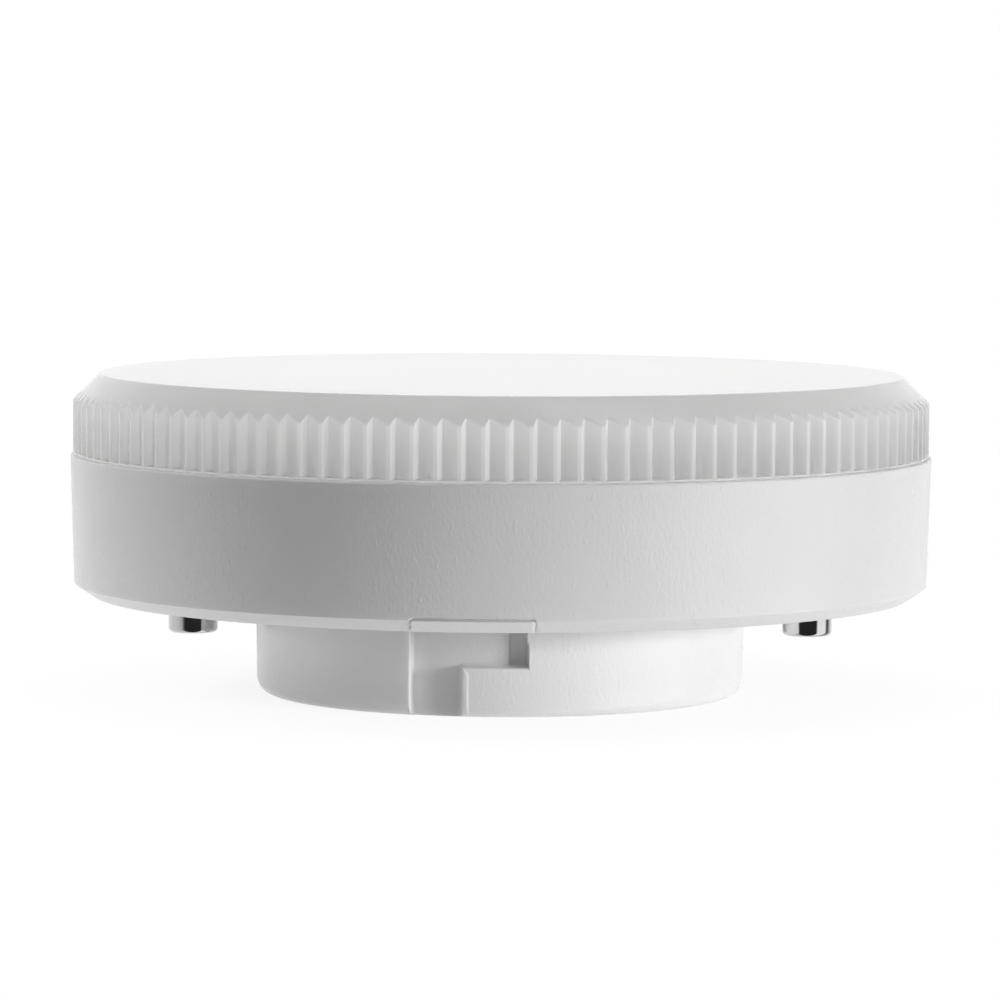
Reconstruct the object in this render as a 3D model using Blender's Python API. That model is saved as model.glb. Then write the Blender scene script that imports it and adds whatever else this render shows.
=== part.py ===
"""LED disc lamp with a 53 mm two-pin twist-lock cap, modelled piece by piece.

Units are metres and +Z is up. The lamp stands on its neck, as it lies on a bench: the origin is the centre
of the neck's end, the contact pins lie on X, and the front bayonet slot faces -Y.
"""
import math

import bmesh
import bpy
from mathutils import Matrix, Vector

MM = 0.001

# Air left between pieces that touch on the real lamp
GAP = 0.3 * MM

# The cap's standard pitch between its two contact pins, and how far the neck and the rim lie from a pin
PIN_PITCH = 53.0 * MM
PIN_TO_NECK = 5.45 * MM
PIN_TO_RIM = 10.5 * MM

# Housing: neck, round cup and their edges
NECK_HEIGHT = 8.6 * MM
NECK_DRAFT = 0.1 * MM
NECK_EDGE_ROUND = 1.4 * MM
HOUSING_DEPTH = 11.9 * MM
HOUSING_DRAFT = 0.33 * MM
CHAMFER_WIDTH = 1.47 * MM
CHAMFER_HEIGHT = 1.02 * MM
HOUSING_WALL = 1.6 * MM
HOUSING_FLOOR = 1.8 * MM
INNER_BEVEL = 0.9 * MM

# Bayonet slots in the neck, and the raised lands above them
SLOT_DEPTH = 1.5 * MM
SLOT_START = -7.3 * MM
SLOT_WIDTH = 4.4 * MM
SLOT_REACH = 9.7 * MM
SLOT_LEDGE_HEIGHT = 4.2 * MM
LAND_RISE = 0.22 * MM
SET_BACK = 0.05 * MM

# Diffuser: skirt with grip grooves, bevel, flat top and the spigot that plugs into the housing
DIFFUSER_STEP = 0.23 * MM
SKIRT_HEIGHT = 4.4 * MM
BEVEL_WIDTH = 2.83 * MM
BEVEL_HEIGHT = 2.3 * MM
DIFFUSER_WALL = 1.5 * MM
GROOVE_COUNT = 120
GROOVE_DEPTH = 0.6 * MM
GROOVE_LAND = 0.52 * MM
GROOVE_LIP = 0.45 * MM
GROOVE_PHASE = math.radians(0.64)
SPIGOT_DEPTH = 3.2 * MM
SPIGOT_WALL = 1.2 * MM
BEAD_RISE = 0.55 * MM
BEAD_HEIGHT = 0.9 * MM

# Contact pins and their solder tags
PIN_REACH = 3.6 * MM
PIN_HEAD_RADIUS = 2.15 * MM
PIN_HEAD_HEIGHT = 1.9 * MM
PIN_HEAD_ROUND = 0.35 * MM
PIN_SHANK_RADIUS = 1.45 * MM
RIVET_RADIUS = 2.3 * MM
RIVET_HEIGHT = 0.8 * MM
HEAD_TAPER = 0.7
TAG_RADIUS = 2.9 * MM
TAG_THICKNESS = 0.5 * MM
TAG_TAIL = 6.6 * MM
TAG_TAIL_WIDTH = 2.6 * MM

# Heat spreader dish on its posts, and the LED board on top of it
POST_RADIUS = 2.6 * MM
POST_EDGE = 3.2 * MM
REST_RADIUS = 1.5 * MM
REST_CLEARANCE = 2.2 * MM
SPREADER_THICKNESS = 1.0 * MM
SPREADER_RIM = 3.5 * MM
LED_BOARD_MARGIN = 3.1 * MM
LED_BOARD_THICKNESS = 1.0 * MM
LEAD_HOLE_RADIUS = 3.0 * MM

# LED packages in two rings
LED_LENGTH = 3.5 * MM
LED_WIDTH = 2.8 * MM
LED_HEIGHT = 0.7 * MM
LED_WINDOW_RIM = 0.4 * MM
LED_WINDOW_DEPTH = 0.12 * MM
OUTER_LED_COUNT = 10
OUTER_LED_EDGE = 10.0 * MM
INNER_LED_COUNT = 4
INNER_LED_CIRCLE = 10.0 * MM

# Board screws
SCREW_COUNT = 3
SCREW_HEAD_RADIUS = 2.5 * MM
SCREW_HEAD_HEIGHT = 1.5 * MM
SCREW_SHANK_RADIUS = 1.25 * MM
SCREW_BITE = 2.9 * MM
CROSS_LENGTH = 2.6 * MM
CROSS_WIDTH = 0.6 * MM
CROSS_DEPTH = 0.8 * MM

# Driver board and the clips that hold it over the neck's mouth
DRIVER_SEAT = 3.15 * MM
DRIVER_THICKNESS = 1.6 * MM
CLIP_THICKNESS = 1.2 * MM
CLIP_WIDTH = 3.0 * MM
CLIP_HOOK = 0.9 * MM
CLIP_HOOK_HEIGHT = 0.8 * MM

# Driver parts: the tall ones hang in the neck, and the flat ones sit on top of the board
NECK_CLEARANCE = 0.5 * MM
BULK_CAP_LENGTH = 13.0 * MM
OUTPUT_CAP_RADIUS = 3.15 * MM
OUTPUT_CAP_LENGTH = 10.0 * MM
CAN_EDGE_ROUND = 0.5 * MM
CAN_GROOVE_DEPTH = 0.4 * MM
CAN_GROOVE_END = 1.0 * MM
FILM_CAP_LENGTH = 7.0 * MM
FILM_CAP_WIDTH = 3.5 * MM
FILM_CAP_HEIGHT = 6.0 * MM
FILM_CAP_Y = -3.5 * MM
INDUCTOR_RADIUS = 4.0 * MM
INDUCTOR_CORE_RADIUS = 1.8 * MM
INDUCTOR_HEIGHT = 6.6 * MM
INDUCTOR_FLANGE = 1.1 * MM
RESISTOR_RADIUS = 1.5 * MM
RESISTOR_LENGTH = 7.5 * MM
RESISTOR_LEAD_RADIUS = 0.35 * MM
RESISTOR_LEAD_LENGTH = 1.8 * MM
BRIDGE_LENGTH = 4.8 * MM
BRIDGE_WIDTH = 4.0 * MM
BRIDGE_HEIGHT = 1.3 * MM
BRIDGE_X = -7.0 * MM
BRIDGE_Y = 6.0 * MM
DRIVER_IC_LENGTH = 4.9 * MM
DRIVER_IC_WIDTH = 3.9 * MM
DRIVER_IC_HEIGHT = 1.3 * MM
DRIVER_IC_X = 6.5 * MM
DRIVER_IC_Y = 5.5 * MM
IC_LEG_COUNT = 4
IC_LEG_PITCH = 1.27 * MM
IC_LEG_WIDTH = 0.4 * MM
IC_LEG_REACH = 1.0 * MM
DIODE_LENGTH = 4.3 * MM
DIODE_WIDTH = 2.6 * MM
DIODE_HEIGHT = 1.1 * MM
DIODE_X = 7.0 * MM
DIODE_Y = -6.0 * MM
CHIP_BEVEL = 0.2 * MM

# Insulated leads
MAINS_LEAD_RADIUS = 0.7 * MM
DC_LEAD_RADIUS = 0.55 * MM
LEAD_STUB = 1.1 * MM
LEAD_INSET = 4.0 * MM
LEAD_POINTS = 14

# Facets round the turned pieces
ROUND_STEPS = 80
DISC_STEPS = 48
PIN_STEPS = 24
SMALL_STEPS = 16
FILLET_STEPS = 4
LAND_STEPS = 4
SHARP_ANGLE = math.radians(32)

# Heights that follow from the sizes above
FLOOR_TOP = NECK_HEIGHT + HOUSING_FLOOR
FORM_ROOT = FLOOR_TOP - HOUSING_FLOOR / 2
CHAMFER_TOP = NECK_HEIGHT + CHAMFER_HEIGHT
RIM_TOP = NECK_HEIGHT + HOUSING_DEPTH
PIN_END = NECK_HEIGHT - PIN_REACH
TAG_BOTTOM = FLOOR_TOP + GAP
TAG_TOP = TAG_BOTTOM + TAG_THICKNESS
DRIVER_BOTTOM = FLOOR_TOP + GAP
DRIVER_TOP = DRIVER_BOTTOM + DRIVER_THICKNESS
CHIP_SEAT = DRIVER_TOP + GAP
DIFFUSER_BOTTOM = RIM_TOP + GAP
SHOULDER_HEIGHT = DIFFUSER_BOTTOM + SKIRT_HEIGHT
LAMP_HEIGHT = SHOULDER_HEIGHT + BEVEL_HEIGHT
SPIGOT_BOTTOM = DIFFUSER_BOTTOM - SPIGOT_DEPTH
BEAD_MIDDLE = SPIGOT_BOTTOM + BEAD_HEIGHT
SPREADER_TOP = SPIGOT_BOTTOM - GAP
SPREADER_BOTTOM = SPREADER_TOP - SPREADER_THICKNESS
POST_TOP = SPREADER_BOTTOM - GAP
LED_BOARD_BOTTOM = SPREADER_TOP + GAP
LED_BOARD_TOP = LED_BOARD_BOTTOM + LED_BOARD_THICKNESS
LED_BOTTOM = LED_BOARD_TOP + GAP
SCREW_SEAT = LED_BOARD_TOP + GAP
SCREW_TIP = POST_TOP - SCREW_BITE

# Radii that follow from the sizes above
PIN_CIRCLE = PIN_PITCH / 2
NECK_RADIUS = PIN_CIRCLE - PIN_TO_NECK
HOUSING_RADIUS = PIN_CIRCLE + PIN_TO_RIM
WALL_FOOT_RADIUS = HOUSING_RADIUS - HOUSING_DRAFT
BACK_FACE_RADIUS = WALL_FOOT_RADIUS - CHAMFER_WIDTH
WALL_LEAN = HOUSING_DRAFT / (RIM_TOP - CHAMFER_TOP)
INNER_FOOT_RADIUS = WALL_FOOT_RADIUS - HOUSING_WALL
INNER_RIM_RADIUS = HOUSING_RADIUS - HOUSING_WALL
CAVITY_RADIUS = NECK_RADIUS - NECK_DRAFT - HOUSING_WALL
SLOT_FLOOR_RADIUS = NECK_RADIUS - SLOT_DEPTH
SLOT_BACK_RADIUS = SLOT_FLOOR_RADIUS - HOUSING_WALL
SKIRT_RADIUS = HOUSING_RADIUS - DIFFUSER_STEP
CREASE_RADIUS = SKIRT_RADIUS - BEVEL_WIDTH
SPREADER_RADIUS = INNER_FOOT_RADIUS - GAP
SPIGOT_RADIUS = INNER_FOOT_RADIUS - GAP
LED_BOARD_RADIUS = SPIGOT_RADIUS - SPIGOT_WALL - LED_BOARD_MARGIN
OUTER_LED_CIRCLE = LED_BOARD_RADIUS - OUTER_LED_EDGE
POST_CIRCLE = LED_BOARD_RADIUS - POST_EDGE
REST_CIRCLE = SPREADER_RADIUS - SPREADER_THICKNESS - REST_CLEARANCE - REST_RADIUS
SCREW_HOLE_RADIUS = SCREW_SHANK_RADIUS + GAP
DRIVER_RADIUS = CAVITY_RADIUS + DRIVER_SEAT
CLIP_RADIUS = DRIVER_RADIUS + GAP

# Room for the driver's tall parts in the neck, below the board
ROOM_RADIUS = SLOT_BACK_RADIUS - NECK_CLEARANCE
ROOM_TOP = DRIVER_BOTTOM - GAP
BULK_CAP_RADIUS = (ROOM_TOP - HOUSING_FLOOR - GAP) / 2
BULK_CAP_X = BULK_CAP_RADIUS - math.sqrt(ROOM_RADIUS ** 2 - (BULK_CAP_LENGTH / 2) ** 2)
OUTPUT_CAP_X = math.sqrt(ROOM_RADIUS ** 2 - (OUTPUT_CAP_LENGTH / 2) ** 2) - OUTPUT_CAP_RADIUS
AISLE_X = (BULK_CAP_X + BULK_CAP_RADIUS + OUTPUT_CAP_X - OUTPUT_CAP_RADIUS) / 2
INDUCTOR_Y = math.sqrt((ROOM_RADIUS - INDUCTOR_RADIUS) ** 2 - AISLE_X ** 2)
RESISTOR_REACH = RESISTOR_LENGTH / 2 + RESISTOR_LEAD_LENGTH
RESISTOR_Y = RESISTOR_RADIUS - math.sqrt(ROOM_RADIUS ** 2 - (RESISTOR_REACH + AISLE_X) ** 2)

# Angles round the lamp, measured from +X
SCREW_ANGLES = [math.radians(90 + 360 * index / SCREW_COUNT) for index in range(SCREW_COUNT)]
BETWEEN_ANGLES = [angle - math.pi / SCREW_COUNT for angle in SCREW_ANGLES]
FRONT = -math.pi / 2
HALF_TURN = math.pi


def clear_scene():
    for thing in list(bpy.data.objects):
        bpy.data.objects.remove(thing)


def material(name, colour, roughness, metallic=0.0):
    """A Principled material in one plain colour."""
    result = bpy.data.materials.new(name)
    result.use_nodes = True
    shader = result.node_tree.nodes["Principled BSDF"]
    shader.inputs["Base Color"].default_value = (*colour, 1.0)
    shader.inputs["Roughness"].default_value = roughness
    shader.inputs["Metallic"].default_value = metallic
    return result


def polar(radius, angle, height=0.0):
    return Vector((radius * math.cos(angle), radius * math.sin(angle), height))


def place(name, mesh, finish=None, location=(0.0, 0.0, 0.0), turn=0.0):
    """Link a mesh as a named object, turned about Z."""
    piece = bpy.data.objects.new(name, mesh)
    piece.location = location
    piece.rotation_euler = (0.0, 0.0, turn)
    if finish and not mesh.materials:
        mesh.materials.append(finish)
    bpy.context.collection.objects.link(piece)
    return piece


def mesh_from(name, work, smooth=False):
    """Finish a bmesh: faces out, and round faces shaded smooth up to the sharp angle."""
    bmesh.ops.recalc_face_normals(work, faces=work.faces)
    mesh = bpy.data.meshes.new(name)
    work.to_mesh(mesh)
    work.free()
    if smooth:
        mesh.shade_smooth()
        mesh.set_sharp_from_angle(angle=SHARP_ANGLE)
    return mesh


def turned(name, profile, steps):
    """Spin a closed (radius, height) outline round Z. Points on the axis become poles."""
    work = bmesh.new()
    points = [work.verts.new((radius, 0.0, height)) for radius, height in profile]
    closed = profile[0][0] > 0 or profile[-1][0] > 0
    pairs = list(zip(points, points[1:]))
    if closed:
        pairs.append((points[-1], points[0]))
    edges = [work.edges.new(pair) for pair in pairs]
    bmesh.ops.spin(work, geom=points + edges, cent=(0, 0, 0), axis=(0, 0, 1),
                   angle=2 * math.pi, steps=steps, use_merge=True)
    bmesh.ops.remove_doubles(work, verts=work.verts, dist=0.001 * MM)
    return mesh_from(name, work, smooth=True)


def extruded(name, outline, depth, to_space):
    """Extrude a flat (u, v) outline by depth along w, and put it in space with a matrix."""
    work = bmesh.new()
    corners = [work.verts.new((u, v, 0.0)) for u, v in outline]
    face = work.faces.new(corners)
    grown = bmesh.ops.extrude_face_region(work, geom=[face])["geom"]
    moved = [item for item in grown if isinstance(item, bmesh.types.BMVert)]
    bmesh.ops.translate(work, verts=moved, vec=(0.0, 0.0, depth))
    bmesh.ops.transform(work, matrix=to_space, verts=work.verts)
    return mesh_from(name, work)


def upright(height):
    """Matrix for an outline drawn in plan, whose extrusion starts at a height."""
    return Matrix.Translation((0.0, 0.0, height))


def radial_section(angle, start):
    """Matrix for an outline drawn as (radius, height) and extruded sideways from start."""
    outward = polar(1.0, angle)
    sideways = Vector((-outward.y, outward.x, 0.0))
    columns = Matrix((outward, Vector((0.0, 0.0, 1.0)), sideways)).transposed().to_4x4()
    return Matrix.Translation(sideways * start) @ columns


def block(name, size, bevel, finish, centre):
    """A box with bevelled edges, standing on its centre's height."""
    work = bmesh.new()
    bmesh.ops.create_cube(work, size=1.0)
    bmesh.ops.scale(work, vec=size, verts=work.verts)
    bmesh.ops.translate(work, vec=(0.0, 0.0, size[2] / 2), verts=work.verts)
    bmesh.ops.bevel(work, geom=list(work.edges), offset=bevel, segments=1, affect="EDGES")
    return place(name, mesh_from(name, work), finish, centre)


def fillet(centre_radius, centre_height, size, start, end):
    """Points of a round edge in a (radius, height) outline, from one angle to another."""
    points = []
    for index in range(FILLET_STEPS + 1):
        angle = math.radians(start + (end - start) * index / FILLET_STEPS)
        points.append((centre_radius + size * math.cos(angle), centre_height + size * math.sin(angle)))
    return points


def guide(piece):
    """Mark an object as a cutter or an added form, which isn't a piece of the lamp."""
    piece.hide_render = True
    piece.display_type = "WIRE"
    return piece


def shape_with(target, other, operation):
    """Cut the target by another solid, or join that solid to it."""
    boolean = target.modifiers.new(other.name, "BOOLEAN")
    boolean.operation = operation
    boolean.solver = "EXACT"
    boolean.object = guide(other)


def wall_radius(height):
    """Outer radius of the housing's drafted wall."""
    return WALL_FOOT_RADIUS + WALL_LEAN * (height - CHAMFER_TOP)


def housing_profile():
    """Outline of the housing with a solid neck, from the axis out, up and back in."""
    neck_foot = NECK_RADIUS - NECK_DRAFT
    profile = [(0.0, 0.0)]
    profile += fillet(neck_foot - NECK_EDGE_ROUND, NECK_EDGE_ROUND, NECK_EDGE_ROUND, -90, 0)
    profile += [
        (NECK_RADIUS, NECK_HEIGHT),
        (BACK_FACE_RADIUS, NECK_HEIGHT),
        (WALL_FOOT_RADIUS, CHAMFER_TOP),
        (HOUSING_RADIUS, RIM_TOP),
        (INNER_RIM_RADIUS, RIM_TOP),
    ]
    # The groove that the diffuser's bead snaps into
    profile += [
        (wall_radius(BEAD_MIDDLE + BEAD_HEIGHT) - HOUSING_WALL, BEAD_MIDDLE + BEAD_HEIGHT),
        (SPIGOT_RADIUS + BEAD_RISE + GAP, BEAD_MIDDLE),
        (wall_radius(BEAD_MIDDLE - BEAD_HEIGHT) - HOUSING_WALL, BEAD_MIDDLE - BEAD_HEIGHT),
    ]
    profile += [
        (INNER_FOOT_RADIUS, FLOOR_TOP + INNER_BEVEL),
        (INNER_FOOT_RADIUS - INNER_BEVEL, FLOOR_TOP),
        (0.0, FLOOR_TOP),
    ]
    return profile


def slot_span():
    """Sideways range of a slot's recess, start and end."""
    return SLOT_START, SLOT_START + SLOT_REACH


def cavity_outline():
    """Plan of the neck's hollow, which steps in behind each slot to keep the wall."""
    start, end = slot_span()
    step_start = math.asin((start - HOUSING_WALL) / CAVITY_RADIUS)
    step_end = math.asin((end + HOUSING_WALL) / CAVITY_RADIUS)
    outline = []
    for side in (0.0, HALF_TURN):
        first = FRONT + side + step_start
        last = FRONT + side + step_end
        back_steps = 8
        for index in range(back_steps + 1):
            angle = first + (last - first) * index / back_steps
            outline.append(polar(SLOT_BACK_RADIUS, angle).to_2d())
        free_steps = 28
        free_angle = HALF_TURN - (last - first)
        for index in range(free_steps + 1):
            angle = last + free_angle * index / free_steps
            outline.append(polar(CAVITY_RADIUS, angle).to_2d())
    return outline


def slot_cutter(name, side):
    """An L-shaped block that reaches the slot's floor: an entry stem and an arm under the back face."""
    start, end = slot_span()
    below = -NECK_EDGE_ROUND
    ceiling = NECK_HEIGHT - SET_BACK
    outline = [
        (start, below),
        (start + SLOT_WIDTH, below),
        (start + SLOT_WIDTH, SLOT_LEDGE_HEIGHT),
        (end, SLOT_LEDGE_HEIGHT),
        (end, ceiling),
        (start, ceiling),
    ]
    outward = Vector((0.0, -1.0, 0.0))
    columns = Matrix((Vector((1.0, 0.0, 0.0)), Vector((0.0, 0.0, 1.0)), outward)).transposed().to_4x4()
    inner = SLOT_FLOOR_RADIUS * math.cos(math.asin(max(abs(start), abs(end)) / SLOT_FLOOR_RADIUS))
    to_space = Matrix.Rotation(side, 4, "Z") @ Matrix.Translation(outward * inner) @ columns
    cutter = place(name, extruded(name, outline, NECK_RADIUS + SLOT_DEPTH - inner, to_space))
    core_profile = [(0.0, -SLOT_DEPTH), (SLOT_FLOOR_RADIUS, -SLOT_DEPTH),
                    (SLOT_FLOOR_RADIUS, NECK_HEIGHT + SLOT_DEPTH), (0.0, NECK_HEIGHT + SLOT_DEPTH)]
    core = place(name + "_floor", turned(name + "_floor", core_profile, ROUND_STEPS))
    shape_with(cutter, core, "DIFFERENCE")
    return cutter


def land_form(name, side):
    """The raised land over a slot: an offset of the back chamfer, swept round as far as the slot reaches."""
    start, end = slot_span()
    first = math.asin(start / WALL_FOOT_RADIUS)
    last = math.asin(end / WALL_FOOT_RADIUS)
    bottom = NECK_HEIGHT + SET_BACK
    top = CHAMFER_TOP + SET_BACK
    root = BACK_FACE_RADIUS - HOUSING_FLOOR / 2
    outline = [(BACK_FACE_RADIUS + LAND_RISE, bottom), (WALL_FOOT_RADIUS + LAND_RISE, top), (root, top),
               (root, bottom)]
    work = bmesh.new()
    section = work.faces.new([work.verts.new((radius, 0.0, height)) for radius, height in outline])
    bmesh.ops.rotate(work, verts=section.verts, matrix=Matrix.Rotation(FRONT + side + first, 3, "Z"))
    bmesh.ops.spin(work, geom=[section] + list(section.edges) + list(section.verts), cent=(0, 0, 0),
                   axis=(0, 0, 1), angle=last - first, steps=LAND_STEPS)
    bmesh.ops.contextual_create(work, geom=[edge for edge in work.edges if edge.is_boundary])
    return place(name, mesh_from(name, work))


def clip_form(name, angle):
    """A hooked post that holds the driver board by its edge."""
    hook_under = DRIVER_TOP + GAP
    hook_top = hook_under + CLIP_HOOK_HEIGHT
    inner = CLIP_RADIUS
    outer = CLIP_RADIUS + CLIP_THICKNESS
    outline = [(inner, FORM_ROOT), (outer, FORM_ROOT), (outer, hook_top), (inner, hook_top),
               (inner - CLIP_HOOK, hook_under + CLIP_HOOK_HEIGHT / 3), (inner - CLIP_HOOK, hook_under),
               (inner, hook_under)]
    to_space = radial_section(angle, -CLIP_WIDTH / 2)
    return place(name, extruded(name, outline, CLIP_WIDTH, to_space))


def round_form(name, profile, location):
    """A turned guide, with its corners off the spokes of the round piece that it cuts or joins."""
    return place(name, turned(name, profile, SMALL_STEPS), location=location, turn=HALF_TURN / SMALL_STEPS)


def rod_form(name, radius, bottom, top, location):
    """A plain round bar, for rests and holes."""
    profile = [(0.0, bottom), (radius, bottom), (radius, top), (0.0, top)]
    return round_form(name, profile, location)


def post_form(name, angle):
    """A screw post with a blind hole a little deeper than its screw."""
    hole_bottom = SCREW_TIP - GAP
    profile = [(0.0, FORM_ROOT), (POST_RADIUS, FORM_ROOT), (POST_RADIUS, POST_TOP),
               (SCREW_HOLE_RADIUS, POST_TOP), (SCREW_HOLE_RADIUS, hole_bottom), (0.0, hole_bottom)]
    return round_form(name, profile, polar(POST_CIRCLE, angle))


def make_housing(finish):
    """The cup and solid neck, hollowed and slotted first, then given its lands, posts, rests and clips."""
    housing = place("housing", turned("housing", housing_profile(), ROUND_STEPS), finish)
    cavity = extruded("cavity", cavity_outline(), FLOOR_TOP, upright(HOUSING_FLOOR))
    shape_with(housing, place("cavity", cavity), "DIFFERENCE")
    for index, side in enumerate((0.0, HALF_TURN)):
        shape_with(housing, slot_cutter(f"slot_{index}", side), "DIFFERENCE")
    for name, side in (("left", -1), ("right", 1)):
        hole = rod_form(f"pin_hole_{name}", PIN_SHANK_RADIUS + GAP, NECK_HEIGHT - GAP, FLOOR_TOP + GAP,
                        (side * PIN_CIRCLE, 0.0, 0.0))
        shape_with(housing, hole, "DIFFERENCE")
    for index, side in enumerate((0.0, HALF_TURN)):
        shape_with(housing, land_form(f"land_{index}", side), "UNION")
    for index, angle in enumerate(SCREW_ANGLES):
        shape_with(housing, post_form(f"post_{index}", angle), "UNION")
    for index, angle in enumerate(BETWEEN_ANGLES):
        rest = rod_form(f"rest_{index}", REST_RADIUS, FORM_ROOT, POST_TOP, polar(REST_CIRCLE, angle))
        shape_with(housing, rest, "UNION")
        shape_with(housing, clip_form(f"clip_{index}", angle), "UNION")
    return housing


def ring_faces(work, fine, coarse):
    """Bridge two rings of points, where the fine one has a whole number of points for each coarse one."""
    share = len(fine) // len(coarse)
    for index, point in enumerate(coarse):
        following = coarse[(index + 1) % len(coarse)]
        span = [fine[(index * share + step) % len(fine)] for step in range(share + 1)]
        work.faces.new(span + [following, point])


def diffuser_inside():
    """Inner outline of the diffuser, from the skirt's underside down the spigot and up to the ceiling."""
    bead_radius = SPIGOT_RADIUS + BEAD_RISE
    inner_spigot = SPIGOT_RADIUS - SPIGOT_WALL
    inner_skirt = SKIRT_RADIUS - DIFFUSER_WALL
    step_height = DIFFUSER_BOTTOM + SPIGOT_WALL
    corner_drop = DIFFUSER_WALL * math.tan(math.atan2(BEVEL_HEIGHT, BEVEL_WIDTH) / 2)
    return [
        (SPIGOT_RADIUS, DIFFUSER_BOTTOM),
        (SPIGOT_RADIUS, BEAD_MIDDLE + BEAD_HEIGHT / 2),
        (bead_radius, BEAD_MIDDLE),
        (SPIGOT_RADIUS, BEAD_MIDDLE - BEAD_HEIGHT / 2),
        (SPIGOT_RADIUS - GAP, SPIGOT_BOTTOM),
        (inner_spigot, SPIGOT_BOTTOM),
        (inner_spigot, step_height),
        (inner_skirt, step_height + inner_skirt - inner_spigot),
        (inner_skirt, SHOULDER_HEIGHT - corner_drop),
        (CREASE_RADIUS - corner_drop, LAMP_HEIGHT - DIFFUSER_WALL),
    ]


def make_diffuser(finish):
    """Skirt and bevel as bands of lands and V grooves that run out on the bevel, then the plain inside."""
    work = bmesh.new()
    pitch = 2 * math.pi / GROOVE_COUNT
    half_land = GROOVE_LAND / SKIRT_RADIUS / 2
    slope = BEVEL_HEIGHT / BEVEL_WIDTH
    groove_radius = SKIRT_RADIUS - GROOVE_DEPTH
    lip_top = DIFFUSER_BOTTOM + GROOVE_LIP
    foot, lip, shoulder, crease, toes, tips = [], [], [], [], [], []
    for index in range(GROOVE_COUNT):
        middle = FRONT + GROOVE_PHASE + index * pitch
        for angle in (middle - half_land, middle + half_land):
            foot.append(work.verts.new(polar(SKIRT_RADIUS, angle, DIFFUSER_BOTTOM)))
            lip.append(work.verts.new(polar(SKIRT_RADIUS, angle, lip_top)))
            shoulder.append(work.verts.new(polar(SKIRT_RADIUS, angle, SHOULDER_HEIGHT)))
            crease.append(work.verts.new(polar(CREASE_RADIUS, angle, LAMP_HEIGHT)))
        bottom = middle + pitch / 2
        toes.append(work.verts.new(polar(groove_radius, bottom, lip_top + GROOVE_DEPTH)))
        tips.append(work.verts.new(polar(groove_radius, bottom, SHOULDER_HEIGHT + GROOVE_DEPTH * slope)))
    for index in range(GROOVE_COUNT):
        left = 2 * index
        right = left + 1
        beyond = (left + 2) % (2 * GROOVE_COUNT)
        toe = toes[index]
        tip = tips[index]
        work.faces.new((foot[left], foot[right], lip[right], lip[left]))
        work.faces.new((foot[right], foot[beyond], lip[beyond], lip[right]))
        work.faces.new((lip[left], lip[right], shoulder[right], shoulder[left]))
        work.faces.new((lip[right], lip[beyond], toe))
        work.faces.new((lip[right], toe, tip, shoulder[right]))
        work.faces.new((toe, lip[beyond], shoulder[beyond], tip))
        work.faces.new((shoulder[left], shoulder[right], crease[right], crease[left]))
        work.faces.new((shoulder[right], tip, crease[right]))
        work.faces.new((tip, crease[beyond], crease[right]))
        work.faces.new((tip, shoulder[beyond], crease[beyond]))
    work.faces.new(crease)
    inner_steps = GROOVE_COUNT // 2
    rings = []
    for radius, height in diffuser_inside():
        rings.append([
            work.verts.new(polar(radius, FRONT + GROOVE_PHASE + index * 2 * pitch, height))
            for index in range(inner_steps)
        ])
    ring_faces(work, foot, rings[0])
    for outer, inner in zip(rings, rings[1:]):
        ring_faces(work, outer, inner)
    work.faces.new(rings[-1])
    return place("diffuser", mesh_from("diffuser", work, smooth=True), finish)


def make_pins(finish):
    """A turned head and shank, riveted over the solder tag inside."""
    rivet_bottom = TAG_TOP + GAP
    head_top = PIN_END + PIN_HEAD_HEIGHT
    profile = [(0.0, PIN_END)]
    profile += fillet(PIN_HEAD_RADIUS - PIN_HEAD_ROUND, PIN_END + PIN_HEAD_ROUND, PIN_HEAD_ROUND, -90, 0)
    profile += [
        (PIN_HEAD_RADIUS, head_top),
        (PIN_SHANK_RADIUS, head_top),
        (PIN_SHANK_RADIUS, rivet_bottom),
        (RIVET_RADIUS, rivet_bottom),
        (RIVET_RADIUS, rivet_bottom + RIVET_HEIGHT / 2),
        (RIVET_RADIUS * HEAD_TAPER, rivet_bottom + RIVET_HEIGHT),
        (0.0, rivet_bottom + RIVET_HEIGHT),
    ]
    mesh = turned("contact_pin", profile, PIN_STEPS)
    place("contact_pin_left", mesh, finish, (-PIN_CIRCLE, 0.0, 0.0))
    place("contact_pin_right", mesh, finish, (PIN_CIRCLE, 0.0, 0.0))


def make_tags(finish):
    """A flat ring under the rivet with a tail for the lead, which points along +Y."""
    half_tail = TAG_TAIL_WIDTH / 2
    join = math.acos(half_tail / TAG_RADIUS)
    arc_steps = 20
    sweep = 2 * math.pi - (math.pi - 2 * join)
    outline = [(half_tail, TAG_TAIL), (-half_tail, TAG_TAIL)]
    for index in range(arc_steps + 1):
        angle = math.pi - join + sweep * index / arc_steps
        outline.append(polar(TAG_RADIUS, angle).to_2d())
    mesh = extruded("solder_tag", outline, TAG_THICKNESS, upright(0.0))
    for name, side in (("left", -1), ("right", 1)):
        tag = place(f"solder_tag_{name}", mesh, finish, (side * PIN_CIRCLE, 0.0, TAG_BOTTOM))
        hole = rod_form(f"tag_hole_{name}", PIN_SHANK_RADIUS + GAP, TAG_BOTTOM - GAP, TAG_TOP + GAP,
                        (side * PIN_CIRCLE, 0.0, 0.0))
        shape_with(tag, hole, "DIFFERENCE")


def drill(piece, name, bottom, top):
    """Drill a plate for the board screws."""
    for index, angle in enumerate(SCREW_ANGLES):
        hole = rod_form(f"{name}_{index}", SCREW_HOLE_RADIUS, bottom - GAP, top + GAP,
                        polar(POST_CIRCLE, angle))
        shape_with(piece, hole, "DIFFERENCE")


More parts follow.
